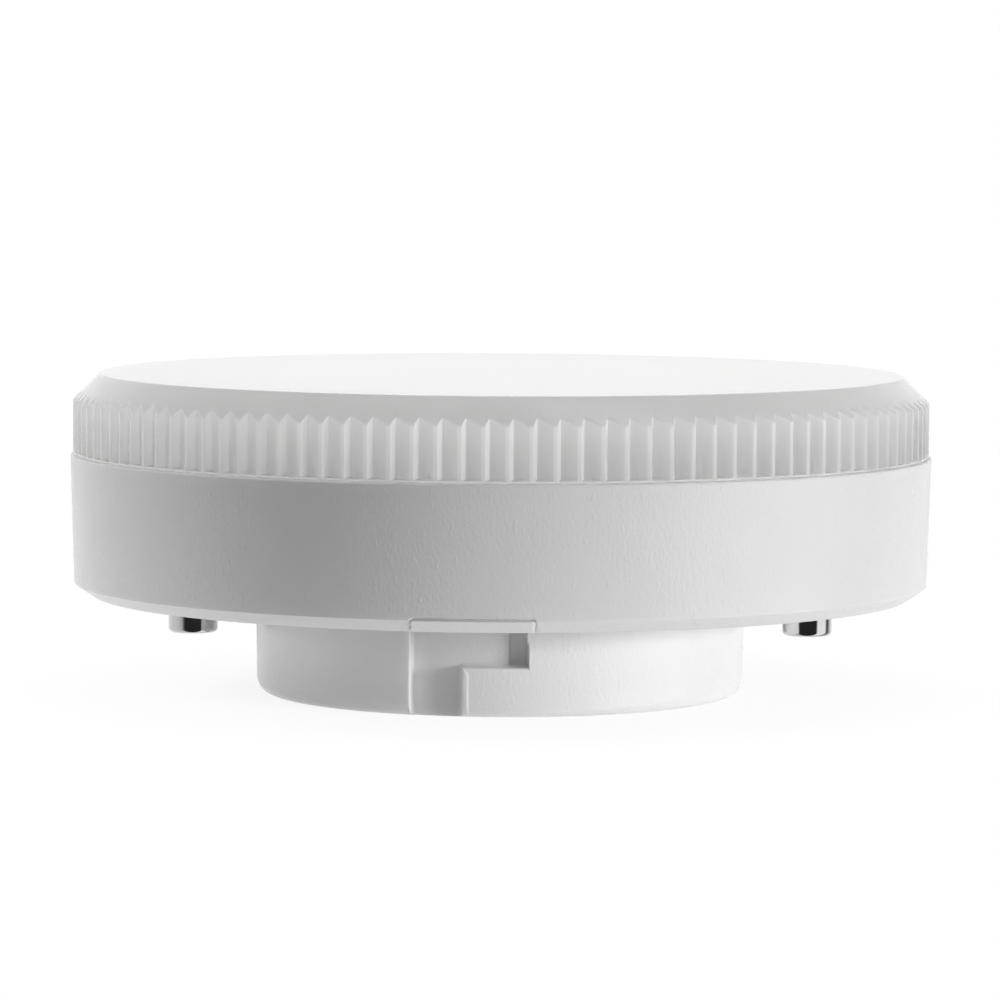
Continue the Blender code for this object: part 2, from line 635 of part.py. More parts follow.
def make_spreader(finish):
    """A pressed dish: a plate with a turned-down rim close to the housing's wall."""
    rim_inside = SPREADER_RADIUS - SPREADER_THICKNESS
    rim_bottom = SPREADER_TOP - SPREADER_RIM
    corner = SPREADER_THICKNESS / 2
    profile = [
        (LEAD_HOLE_RADIUS, SPREADER_BOTTOM),
        (rim_inside, SPREADER_BOTTOM),
        (rim_inside, rim_bottom),
        (SPREADER_RADIUS, rim_bottom),
        (SPREADER_RADIUS, SPREADER_TOP - corner),
        (SPREADER_RADIUS - corner, SPREADER_TOP),
        (LEAD_HOLE_RADIUS, SPREADER_TOP),
    ]
    spreader = place("heat_spreader", turned("heat_spreader", profile, DISC_STEPS), finish)
    drill(spreader, "spreader_hole", SPREADER_BOTTOM, SPREADER_TOP)


def make_led_board(finish):
    profile = [
        (LEAD_HOLE_RADIUS, LED_BOARD_BOTTOM),
        (LED_BOARD_RADIUS, LED_BOARD_BOTTOM),
        (LED_BOARD_RADIUS, LED_BOARD_TOP),
        (LEAD_HOLE_RADIUS, LED_BOARD_TOP),
    ]
    board = place("led_board", turned("led_board", profile, DISC_STEPS), finish)
    drill(board, "board_hole", LED_BOARD_BOTTOM, LED_BOARD_TOP)


def led_mesh():
    """A flat package with a sunk window for the phosphor."""
    work = bmesh.new()
    bmesh.ops.create_cube(work, size=1.0)
    bmesh.ops.scale(work, vec=(LED_WIDTH, LED_LENGTH, LED_HEIGHT), verts=work.verts)
    bmesh.ops.translate(work, vec=(0.0, 0.0, LED_HEIGHT / 2), verts=work.verts)
    top = max(work.faces, key=lambda face: face.calc_center_median().z)
    bmesh.ops.inset_region(work, faces=[top], thickness=LED_WINDOW_RIM, depth=0.0)
    bmesh.ops.translate(work, vec=(0.0, 0.0, -LED_WINDOW_DEPTH), verts=top.verts)
    return mesh_from("led_package", work)


def make_leds(finish):
    mesh = led_mesh()
    rings = ((OUTER_LED_COUNT, OUTER_LED_CIRCLE), (INNER_LED_COUNT, INNER_LED_CIRCLE))
    number = 0
    for count, circle in rings:
        for index in range(count):
            number += 1
            angle = 2 * math.pi * (index + 0.5) / count
            place(f"led_{number:02d}", mesh, finish, polar(circle, angle, LED_BOTTOM), angle)


def make_screws(finish):
    """Pan-head screws with a cross recess."""
    top = SCREW_SEAT + SCREW_HEAD_HEIGHT
    profile = [
        (0.0, SCREW_TIP),
        (SCREW_SHANK_RADIUS / 2, SCREW_TIP),
        (SCREW_SHANK_RADIUS, SCREW_TIP + SCREW_SHANK_RADIUS),
        (SCREW_SHANK_RADIUS, SCREW_SEAT),
        (SCREW_HEAD_RADIUS, SCREW_SEAT),
        (SCREW_HEAD_RADIUS, SCREW_SEAT + SCREW_HEAD_HEIGHT / 2),
        (SCREW_HEAD_RADIUS * HEAD_TAPER, top),
        (0.0, top),
    ]
    mesh = turned("board_screw", profile, SMALL_STEPS)
    long = CROSS_LENGTH / 2
    wide = CROSS_WIDTH / 2
    outline = [(long, -wide), (long, wide), (wide, wide), (wide, long), (-wide, long), (-wide, wide),
               (-long, wide), (-long, -wide), (-wide, -wide), (-wide, -long), (wide, -long), (wide, -wide)]
    cross = extruded("cross", outline, 2 * CROSS_DEPTH, upright(top - CROSS_DEPTH))
    for index, angle in enumerate(SCREW_ANGLES):
        screw = place(f"board_screw_{index + 1}", mesh, finish, polar(POST_CIRCLE, angle))
        shape_with(screw, place(f"cross_{index}", cross, location=polar(POST_CIRCLE, angle)), "DIFFERENCE")


def make_driver_board(finish):
    profile = [(0.0, DRIVER_BOTTOM), (DRIVER_RADIUS, DRIVER_BOTTOM), (DRIVER_RADIUS, DRIVER_TOP),
               (0.0, DRIVER_TOP)]
    place("driver_board", turned("driver_board", profile, DISC_STEPS), finish)


def make_can(name, radius, length, finish, centre_x):
    """An electrolytic capacitor that lies along Y under the board, with its crimp groove."""
    profile = [(0.0, 0.0)]
    profile += fillet(radius - CAN_EDGE_ROUND, CAN_EDGE_ROUND, CAN_EDGE_ROUND, -90, 0)
    profile += [
        (radius, length - 2 * CAN_GROOVE_END),
        (radius - CAN_GROOVE_DEPTH, length - 1.5 * CAN_GROOVE_END),
        (radius, length - CAN_GROOVE_END),
        (radius, length),
        (0.0, length),
    ]
    can = place(name, turned(name, profile, SMALL_STEPS), finish)
    can.location = (centre_x, -length / 2, ROOM_TOP - radius)
    can.rotation_euler = (-math.pi / 2, 0.0, 0.0)


def make_inductor(core_finish, winding_finish):
    """A drum core that hangs under the board, with its winding between the flanges."""
    top = ROOM_TOP
    bottom = top - INDUCTOR_HEIGHT
    location = (AISLE_X, INDUCTOR_Y, 0.0)
    core = [
        (0.0, bottom),
        (INDUCTOR_RADIUS, bottom),
        (INDUCTOR_RADIUS, bottom + INDUCTOR_FLANGE),
        (INDUCTOR_CORE_RADIUS, bottom + INDUCTOR_FLANGE),
        (INDUCTOR_CORE_RADIUS, top - INDUCTOR_FLANGE),
        (INDUCTOR_RADIUS, top - INDUCTOR_FLANGE),
        (INDUCTOR_RADIUS, top),
        (0.0, top),
    ]
    place("inductor_core", turned("inductor_core", core, SMALL_STEPS), core_finish, location)
    low = bottom + INDUCTOR_FLANGE + GAP
    high = top - INDUCTOR_FLANGE - GAP
    inner = INDUCTOR_CORE_RADIUS + GAP
    outer = INDUCTOR_RADIUS - GAP
    winding = [(inner, low), (outer, low), (outer, high), (inner, high)]
    place("inductor_winding", turned("inductor_winding", winding, SMALL_STEPS), winding_finish, location)


def make_resistor(finish):
    """An axial resistor along X: a waisted body with a lead at each end."""
    half = RESISTOR_LENGTH / 2
    cap = half * HEAD_TAPER
    end = RESISTOR_REACH
    waist = RESISTOR_RADIUS - CAN_EDGE_ROUND / 2
    side = [(RESISTOR_LEAD_RADIUS, end), (RESISTOR_LEAD_RADIUS, half), (waist, half),
            (RESISTOR_RADIUS, half - CAN_EDGE_ROUND), (RESISTOR_RADIUS, cap), (waist, cap - CAN_EDGE_ROUND)]
    mirrored = [(radius, -height) for radius, height in reversed(side)]
    profile = [(0.0, end)] + side + mirrored + [(0.0, -end)]
    body = place("fusible_resistor", turned("fusible_resistor", profile, SMALL_STEPS // 2), finish)
    body.location = (AISLE_X, RESISTOR_Y, ROOM_TOP - RESISTOR_RADIUS)
    body.rotation_euler = (0.0, math.pi / 2, 0.0)


def make_driver_ic(finish):
    """A small package whose legs reach out on both sides."""
    chip = block("driver_ic", (DRIVER_IC_LENGTH, DRIVER_IC_WIDTH, DRIVER_IC_HEIGHT), CHIP_BEVEL, finish,
                 (DRIVER_IC_X, DRIVER_IC_Y, CHIP_SEAT))
    row = (IC_LEG_COUNT - 1) * IC_LEG_PITCH
    width = DRIVER_IC_WIDTH + 2 * IC_LEG_REACH
    for index in range(IC_LEG_COUNT):
        offset = index * IC_LEG_PITCH - row / 2
        leg = block(f"legs_{index}", (IC_LEG_WIDTH, width, IC_LEG_WIDTH), IC_LEG_WIDTH / 8, None,
                    (DRIVER_IC_X + offset, DRIVER_IC_Y, CHIP_SEAT + DRIVER_IC_HEIGHT / 4))
        shape_with(chip, leg, "UNION")


def lead(name, points, radius, finish):
    """An insulated wire along a smooth curve through its own points."""
    curve = bpy.data.curves.new(name, "CURVE")
    curve.dimensions = "3D"
    curve.bevel_depth = radius
    curve.bevel_resolution = 2
    curve.use_fill_caps = True
    curve.materials.append(finish)
    route = smooth_route(points)
    spline = curve.splines.new("POLY")
    spline.points.add(len(route) - 1)
    for slot, point in zip(spline.points, route):
        slot.co = (*point, 1.0)
    wire = bpy.data.objects.new(name, curve)
    bpy.context.collection.objects.link(wire)


def smooth_route(points):
    """Read evenly spaced points from a Catmull-Rom curve through the given ones."""
    knots = [Vector(point) for point in points]
    padded = [2 * knots[0] - knots[1]] + knots + [2 * knots[-1] - knots[-2]]
    spans = len(knots) - 1
    route = []
    for index in range(LEAD_POINTS + 1):
        place_on = spans * index / LEAD_POINTS
        span = min(int(place_on), spans - 1)
        t = place_on - span
        before, start, end, after = padded[span:span + 4]
        route.append(0.5 * (2 * start + (end - before) * t
                            + (2 * before - 5 * start + 4 * end - after) * t ** 2
                            + (3 * start - before - 3 * end + after) * t ** 3))
    return route


def make_leads(mains_finish, plus_finish, minus_finish):
    """Two leads from the tags to the driver board, and two from there up to the LED board."""
    low = DRIVER_TOP + GAP
    tag_end = TAG_TOP + GAP
    arch = SPREADER_BOTTOM - GAP - MAINS_LEAD_RADIUS
    tail = TAG_TAIL - TAG_TAIL_WIDTH / 2
    for name, side in (("left", -1), ("right", 1)):
        start = side * PIN_CIRCLE
        end = side * (DRIVER_RADIUS - LEAD_INSET)
        lead(f"mains_lead_{name}", [
            (start, tail, tag_end),
            (start, tail, tag_end + LEAD_STUB),
            ((start * 3 + end) / 4, tail, arch),
            ((start + end * 3) / 4, tail, arch),
            (end, tail, low + LEAD_STUB),
            (end, tail, low),
        ], MAINS_LEAD_RADIUS, mains_finish)
    middle = LEAD_HOLE_RADIUS / 2
    pad = INNER_LED_CIRCLE - LED_LENGTH - middle
    solder = LED_BOARD_TOP + GAP
    for name, side, finish in (("plus", 1, plus_finish), ("minus", -1, minus_finish)):
        lead(f"dc_lead_{name}", [
            (side * middle, 0.0, low),
            (side * middle, 0.0, (low + SPREADER_BOTTOM) / 2),
            (side * middle, 0.0, LED_BOARD_TOP),
            (side * (middle + pad) / 2, 0.0, solder + 2 * LEAD_STUB),
            (side * pad, 0.0, solder + LEAD_STUB),
            (side * pad, 0.0, solder),
        ], DC_LEAD_RADIUS, finish)


def build():
    clear_scene()
    white_plastic = material("housing_plastic", (0.80, 0.80, 0.80), 0.5)
    nickel = material("nickel_plate", (0.72, 0.71, 0.69), 0.2, 1.0)
    package_black = material("package_black", (0.03, 0.03, 0.03), 0.45)
    make_housing(white_plastic)
    make_diffuser(material("diffuser_milk", (0.90, 0.90, 0.90), 0.4))
    make_pins(nickel)
    make_tags(material("tinned_brass", (0.70, 0.66, 0.55), 0.35, 1.0))
    make_spreader(material("pressed_aluminium", (0.78, 0.79, 0.80), 0.35, 1.0))
    make_led_board(material("board_white", (0.85, 0.86, 0.86), 0.35))
    make_leds(material("led_package", (0.95, 0.80, 0.25), 0.4))
    make_screws(material("screw_steel", (0.60, 0.60, 0.60), 0.3, 1.0))
    make_driver_board(material("board_green", (0.05, 0.25, 0.10), 0.4))
    make_can("bulk_capacitor", BULK_CAP_RADIUS, BULK_CAP_LENGTH,
             material("can_black", (0.04, 0.04, 0.05), 0.35), BULK_CAP_X)
    make_can("output_capacitor", OUTPUT_CAP_RADIUS, OUTPUT_CAP_LENGTH,
             material("can_green", (0.03, 0.12, 0.07), 0.35), OUTPUT_CAP_X)
    block("film_capacitor", (FILM_CAP_LENGTH, FILM_CAP_WIDTH, FILM_CAP_HEIGHT), 2 * CHIP_BEVEL,
          material("film_yellow", (0.75, 0.55, 0.05), 0.4), (AISLE_X, FILM_CAP_Y, ROOM_TOP - FILM_CAP_HEIGHT))
    make_inductor(material("ferrite", (0.07, 0.07, 0.07), 0.6),
                  material("copper_wire", (0.72, 0.30, 0.12), 0.3, 1.0))
    make_resistor(material("resistor_body", (0.35, 0.55, 0.55), 0.5))
    block("bridge_rectifier", (BRIDGE_LENGTH, BRIDGE_WIDTH, BRIDGE_HEIGHT), CHIP_BEVEL, package_black,
          (BRIDGE_X, BRIDGE_Y, CHIP_SEAT))
    make_driver_ic(package_black)
    block("output_diode", (DIODE_LENGTH, DIODE_WIDTH, DIODE_HEIGHT), CHIP_BEVEL, package_black,
          (DIODE_X, DIODE_Y, CHIP_SEAT))
    make_leads(material("mains_sleeve", (0.75, 0.75, 0.72), 0.5),
               material("plus_sleeve", (0.60, 0.03, 0.02), 0.5),
               material("minus_sleeve", (0.02, 0.02, 0.02), 0.5))


build()
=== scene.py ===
"""Looks of a flat round LED lamp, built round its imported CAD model.

Lengths are in metres. Angles are in radians, or in degrees where a name or a docstring says so.
"""
import math

import bmesh
import bpy
from mathutils import Matrix, Vector


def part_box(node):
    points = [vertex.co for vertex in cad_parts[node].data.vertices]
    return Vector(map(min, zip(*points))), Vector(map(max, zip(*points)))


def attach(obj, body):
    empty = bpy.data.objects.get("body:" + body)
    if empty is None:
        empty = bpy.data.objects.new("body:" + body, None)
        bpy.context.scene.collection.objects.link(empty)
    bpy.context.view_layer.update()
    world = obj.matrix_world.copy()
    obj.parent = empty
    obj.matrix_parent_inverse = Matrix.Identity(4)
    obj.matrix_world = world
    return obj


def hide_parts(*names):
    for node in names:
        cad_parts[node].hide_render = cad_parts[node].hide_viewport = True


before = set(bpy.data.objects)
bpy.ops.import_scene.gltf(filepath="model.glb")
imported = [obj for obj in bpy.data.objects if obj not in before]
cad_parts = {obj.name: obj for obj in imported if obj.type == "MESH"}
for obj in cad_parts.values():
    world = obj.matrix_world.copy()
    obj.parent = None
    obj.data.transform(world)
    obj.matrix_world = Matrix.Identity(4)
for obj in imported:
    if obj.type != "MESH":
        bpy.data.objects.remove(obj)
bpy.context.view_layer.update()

MM = 0.001
FRONT = -math.pi / 2
HALF_TURN = math.pi
SHARP = math.radians(50)

# Corners read from the frame
diffuser_low, diffuser_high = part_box("diffuser")
pin_low, pin_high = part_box("contact_pin_right")
winding_low, winding_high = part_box("inductor_winding")
screw_low, screw_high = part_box("board_screw_1")
housing_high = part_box("housing")[1]
tag_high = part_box("solder_tag_right")[1]
led_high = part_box("led_01")[1]
spreader_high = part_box("heat_spreader")[1]
driver_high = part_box("driver_board")[1]

# Whole lamp
WALL_RADIUS = housing_high.x
RIM_TOP = housing_high.z
LAMP_HEIGHT = diffuser_high.z
SPIGOT_BOTTOM = diffuser_low.z
SKIRT_RADIUS = diffuser_high.x
FIT_GAP = 0.3 * MM

# Housing
NECK_HEIGHT = 8.6 * MM
NECK_RADIUS = 21.05 * MM
NECK_DRAFT = 0.1 * MM
NECK_EDGE_ROUND = 1.4 * MM
NECK_ROOT_ROUND = 0.2 * MM
WALL_DRAFT = 0.33 * MM
CHAMFER_WIDTH = 1.47 * MM
CHAMFER_HEIGHT = 1.02 * MM
HOUSING_WALL = 1.6 * MM
HOUSING_FLOOR = 1.8 * MM
INNER_BEVEL = 0.9 * MM
INNER_LEAN = 0.05 * MM
EDGE_ROUND = 0.15 * MM
RIM_CLOSE = 0.08 * MM
NECK_END_RADIUS = NECK_RADIUS - NECK_DRAFT
WALL_FOOT_RADIUS = WALL_RADIUS - WALL_DRAFT
BACK_FACE_RADIUS = WALL_FOOT_RADIUS - CHAMFER_WIDTH
CHAMFER_TOP = NECK_HEIGHT + CHAMFER_HEIGHT
CHAMFER_SLANT = math.hypot(CHAMFER_WIDTH, CHAMFER_HEIGHT)
FLOOR_TOP = NECK_HEIGHT + HOUSING_FLOOR
INNER_FOOT_RADIUS = WALL_FOOT_RADIUS - HOUSING_WALL
CAVITY_RADIUS = NECK_END_RADIUS - HOUSING_WALL

# Bayonet slots, seen from the front with x to the right
SLOT_START = -7.4 * MM
SLOT_STEM = 4.26 * MM
SLOT_REACH = 9.8 * MM
SLOT_LEDGE = 4.2 * MM
SLOT_DEPTH = 1.5 * MM
SLOT_CORNER = 0.2 * MM
SLOT_LIP = 0.18 * MM
SLOT_FOOT = 0.2 * MM
SLOT_DRAFT = 0.1 * MM
SLOT_LEFT_DRAFT = 0.14 * MM
NICK_DEPTH = 0.14 * MM
NICK_HEIGHT = 6.1 * MM
NICK_RAMP = 0.15 * MM
POCKET_DEPTH = 0.4 * MM
POCKET_STEP = 0.1 * MM
POCKET_POWER = 4
SLOT_FLOOR_RADIUS = NECK_RADIUS - SLOT_DEPTH
SLOT_BACK_RADIUS = SLOT_FLOOR_RADIUS - HOUSING_WALL
STEM_END = SLOT_START + SLOT_STEM
SLOT_END = SLOT_START + SLOT_REACH
POCKET_START = SLOT_END - 1.65 * MM

# Fine raised edge beside the slots, and the lands over them
BURR_RISE = 0.08 * MM
BURR_WIDTH = 0.5 * MM
BURR_END_WIDTH = 0.15 * MM
BURR_FLANK = 0.15 * MM
BURR_FACING = (0.3, 0.8)
LAND_START = -7.12 * MM
LAND_END = 2.75 * MM
LAND_RISE = 0.18 * MM
LAND_CORNER = 0.2 * MM
LAND_EDGE = 0.09 * MM
GUTTER_SHARE = 1.6
GUTTER_PLACE = 0.12 * MM
GUTTER_HALF_WIDTH = 0.1 * MM

# Rows and columns of the housing's mesh
END_FACE_RINGS = (6.0 * MM, 12.0 * MM, 16.0 * MM, 18.6 * MM, 19.3 * MM)
BACK_FACE_RING = 22.5 * MM
FLOOR_RINGS = (27.0 * MM, 20.5 * MM)
HOLLOW_RING = 10.0 * MM
FINE_PITCH = 0.06 * MM
LEDGE_GAP = 0.25 * MM
LAND_PITCH = 0.05 * MM
COARSE_DEGREES = 2
LEAST_TURN = math.radians(0.1)
NEAR_SLOT = math.pi / 4

# Posts, rests and clips inside the housing
FORM_ROOT = FLOOR_TOP - HOUSING_FLOOR / 2
FORM_COUNT = 3
POST_TOP = spreader_high.z - 1.3 * MM
POST_RADIUS = 2.6 * MM
POST_CIRCLE = math.hypot((screw_low.x + screw_high.x) / 2, (screw_low.y + screw_high.y) / 2)
POST_FOOT = 0.6 * MM
SCREW_HOLE_RADIUS = 1.55 * MM
SCREW_HOLE_BOTTOM = screw_low.z - FIT_GAP
REST_RADIUS = 1.5 * MM
REST_CIRCLE = spreader_high.x - 4.7 * MM
REST_FOOT = 0.5 * MM
CLIP_RADIUS = driver_high.x + FIT_GAP
CLIP_THICKNESS = 1.2 * MM
CLIP_WIDTH = 3.0 * MM
CLIP_HOOK = 0.9 * MM
CLIP_HOOK_HEIGHT = 0.8 * MM
CLIP_NOSE_HEIGHT = 0.3 * MM

# Diffuser
SKIRT_HEIGHT = 4.4 * MM
BEVEL_WIDTH = 2.25 * MM
DIFFUSER_WALL = 1.5 * MM
SPIGOT_WALL = 1.2 * MM
SPIGOT_TAPER = 0.3 * MM
BEAD_HALF_HEIGHT = 0.45 * MM
BEAD_RISE = 0.55 * MM
CREASE_ROUND = 0.2 * MM
SHOULDER_ROUND = 0.45 * MM
UNDERSIDE_DROP = 0.12 * MM
UNDERSIDE_ROUND = 0.12 * MM
UNDERSIDE_WIDTH = 0.8 * MM
TOP_BAND = 1.2 * MM
TOP_RING = 15.0 * MM
DIFFUSER_BOTTOM = RIM_TOP + FIT_GAP
SHOULDER = DIFFUSER_BOTTOM + SKIRT_HEIGHT
UNDERSIDE = DIFFUSER_BOTTOM - UNDERSIDE_DROP
CEILING = LAMP_HEIGHT - DIFFUSER_WALL
BEVEL_HEIGHT = LAMP_HEIGHT - SHOULDER
CREASE_RADIUS = SKIRT_RADIUS - BEVEL_WIDTH
SPIGOT_RADIUS = INNER_FOOT_RADIUS - FIT_GAP
BEAD_HEIGHT = SPIGOT_BOTTOM + 2 * BEAD_HALF_HEIGHT

# Grip grooves: a place across one is a share of its width, and its toe is the run-out over the lip
GROOVE_COUNT = 120
GROOVE_PITCH = 2 * math.pi / GROOVE_COUNT
GROOVE_START = math.radians(1.045)
CREST_START = math.radians(0.72)
GROOVE_DEPTH = 0.62 * MM
GROOVE_DEEPEST = 0.2
GROOVE_STRAIGHT = 0.6
CREST_COLUMNS = (0.0, 0.5, 0.9)
GROOVE_COLUMNS = (0.0, 0.03, 0.07, 0.12, 0.16, 0.2, 0.25, 0.32, 0.46, 0.6, 0.74, 0.88, 0.95)
LIP_HEIGHT = 0.04 * MM
TOE_HEIGHT = 0.06 * MM
TOE_SLOPE = 0.12
TOE_CURL = 0.2

# Contact pins
PIN_CIRCLE = (pin_low.x + pin_high.x) / 2
PIN_END = pin_low.z
PIN_HEAD_RADIUS = 2.15 * MM
PIN_HEAD_HEIGHT = 1.9 * MM
PIN_SHANK_RADIUS = 1.45 * MM
PIN_FACE_RADIUS = 0.9 * MM
PIN_FACE_ROUND = 0.4 * MM
PIN_EDGE_ROUND = 0.15 * MM
RIVET_RADIUS = 2.3 * MM
RIVET_BOTTOM = tag_high.z + FIT_GAP
RIVET_ROUND = 0.5 * MM
RIVET_EDGE = 0.2 * MM

# Small sizes inside
WIRE_RADIUS = 0.24 * MM
WIRE_PITCH = 2.04 * WIRE_RADIUS
LED_SINK = 0.12 * MM
RESISTOR_HALF = 3.7 * MM
RESISTOR_RING_HALF = 0.25 * MM

# Finish of the housing
GRAIN_SIZE = 0.26 * MM
GRAIN_DEPTH = 0.03 * MM
GRAIN_SQUEEZE = 0.5
PATCH_SIZE = 9.0 * MM
PATCH_CENTRE = (0.0, 3.0 * MM, 0.0)
PATCH_NOISE = (0.36, 0.56)
GRAIN_LEAST = 0.3
SPECK_SIZE = 0.34 * MM
SPECK_NOISE = (0.73, 0.855)
SPECK_SHARE = 0.7

# Finish of the diffuser
MILK_THROUGH = 0.92
MILK_CLEAR = 0.86
MILK_SPREAD = 0.9
# Painted highlight on the grooves' steep sides, crests and lip: its white, its share on crests and lip, and
# where it falls
EDGE_HIGHLIGHT_WHITE = 0.18
CREST_HIGHLIGHT_SHARE = 0.45
CREST_RADII = (SKIRT_RADIUS - 0.06 * MM, SKIRT_RADIUS - 0.01 * MM)
STEEP_TURN = (0.4, 0.7)
MIRRORED_HEAD_ON = 0.04

# Floor: it lies a hair above the neck's end, so that the light from below reaches that end
FLOOR_TOP_FACE = 0.01 * MM
FLOOR_HALF_SIZE = 6.0
FLOOR_WHITE = 0.7
FLOOR_REACH = 0.4

# How white the camera sees the floor, and how a ring of it glows: (share of the reach, level)
FLOOR_FADE = ((0.05, 0.88), (0.11, 1.0))
TABLE_FADE = ((0.04, 0.0), (0.058, 1.0), (0.15, 1.0), (0.19, 0.0))
TABLE_CENTRE = (-6.0 * MM, 4.0 * MM, 0.0)
TABLE_LIGHT = 0.285

# Mirrored room once round, from behind over left, front and right: (share of the turn, level)
ROOM_ROUND = (
    (0.0, 1.0), (0.083, 0.95), (0.167, 0.75), (0.3, 0.65), (0.36, 0.45), (0.385, 0.1), (0.4, 0.02),
    (0.62, 0.02), (0.635, 1.0), (0.755, 1.0), (0.775, 0.1), (0.811, 0.1), (0.847, 0.6), (0.917, 0.95),
    (1.0, 1.0),
)
LIGHT_BELOW = 0.75
SOFTBOX_DISTANCE = 0.7

# Camera, angles in degrees
CAMERA_PLACE = (0.0, -472.5 * MM, 52.67 * MM)
CAMERA_LENS = 197.83
CAMERA_YAW = 0.008
CAMERA_DIP = 4.370
CAMERA_ROLL = 0.334


def polar(radius, angle, height=0.0):
    return Vector((radius * math.cos(angle), radius * math.sin(angle), height))


def arc(centre_radius, centre_height, size, start, end, steps):
    """Points of a round edge in a (radius, height) outline, from one angle in degrees to another."""
    points = []
    for index in range(steps + 1):
        angle = math.radians(start + (end - start) * index / steps)
        points.append((centre_radius + size * math.cos(angle), centre_height + size * math.sin(angle)))
    return points


def between(start, end, steps):
    """Evenly spaced values from start up to, and without, end."""
    return [start + (end - start) * index / steps for index in range(steps)]


def ramp(value, start, end):
    """How far a value is on its way from start to end, held between 0 and 1."""
    return min(max((value - start) / (end - start), 0.0), 1.0)


def eased(share):
    """A share from 0 to 1 that starts and ends softly."""
    return share * share * (3 - 2 * share)


def band(work, lower, upper):
    """Faces between two closed rings of points."""
    count = len(lower)
    for index in range(count):
        following = (index + 1) % count
        work.faces.new((lower[index], lower[following], upper[following], upper[index]))


def cap(work, ring, place):
    """Faces from a ring to one new point."""
    pole = work.verts.new(place)
    for index in range(len(ring)):
        work.faces.new((ring[index], ring[(index + 1) % len(ring)], pole))


def shell(work, rings, first_pole, last_pole):
    """A closed skin over rings of points."""
    for lower, upper in zip(rings, rings[1:]):
        band(work, lower, upper)
    cap(work, rings[0], first_pole)
    cap(work, rings[-1], last_pole)


def lathe(work, profile, steps, centre=(0.0, 0.0)):
    """Add a closed turned form to a bmesh. Both ends of the profile lie on the axis."""
    offset = Vector((*centre, 0.0))
    rings = []
    for radius, height in profile[1:-1]:
        spots = [polar(radius, 2 * math.pi * index / steps, height) + offset for index in range(steps)]
        rings.append([work.verts.new(spot) for spot in spots])
    shell(work, rings, (*centre, profile[0][1]), (*centre, profile[-1][1]))


def mesh_of(name, work):
    """A bmesh as a plain mesh."""
    mesh = bpy.data.meshes.new(name)
    work.to_mesh(mesh)
    work.free()
    return mesh


def shade(mesh):
    """Smooth up to the sharp angle."""
    mesh.shade_smooth()
    mesh.set_sharp_from_angle(angle=SHARP)


def clean_mesh(name, work, material):
    """A finished mesh: doubles merged, faces out, shaded and painted."""
    bmesh.ops.remove_doubles(work, verts=work.verts, dist=0.002 * MM)
    bmesh.ops.dissolve_degenerate(work, edges=work.edges, dist=0.0005 * MM)
    bmesh.ops.recalc_face_normals(work, faces=work.faces)
    mesh = mesh_of(name, work)
    mesh.materials.append(material)
    shade(mesh)
    return mesh


def show(name, mesh):
    piece = bpy.data.objects.new(name, mesh)
    bpy.context.collection.objects.link(piece)
    return piece


def plain_copy(piece):
    """The piece's mesh with its modifiers' result in it."""
    graph = bpy.context.evaluated_depsgraph_get()
    return bpy.data.meshes.new_from_object(piece.evaluated_get(graph))


# Shader nodes

class Wire:
    """One socket of a material's nodes. Python's operators on it add Math nodes."""

    def __init__(self, nodes, socket):
        self.nodes = nodes
        self.socket = socket

    def __add__(self, other):
        return self.nodes.maths("ADD", self, other)

    def __sub__(self, other):
        return self.nodes.maths("SUBTRACT", self, other)

    def __rsub__(self, other):
        return self.nodes.maths("SUBTRACT", other, self)

    def __mul__(self, other):
        return self.nodes.maths("MULTIPLY", self, other)

    def __truediv__(self, other):
        return self.nodes.maths("DIVIDE", self, other)

    def __gt__(self, other):
        return self.nodes.maths("GREATER_THAN", self, other)

    def __lt__(self, other):
        return self.nodes.maths("LESS_THAN", self, other)

    __radd__ = __add__
    __rmul__ = __mul__


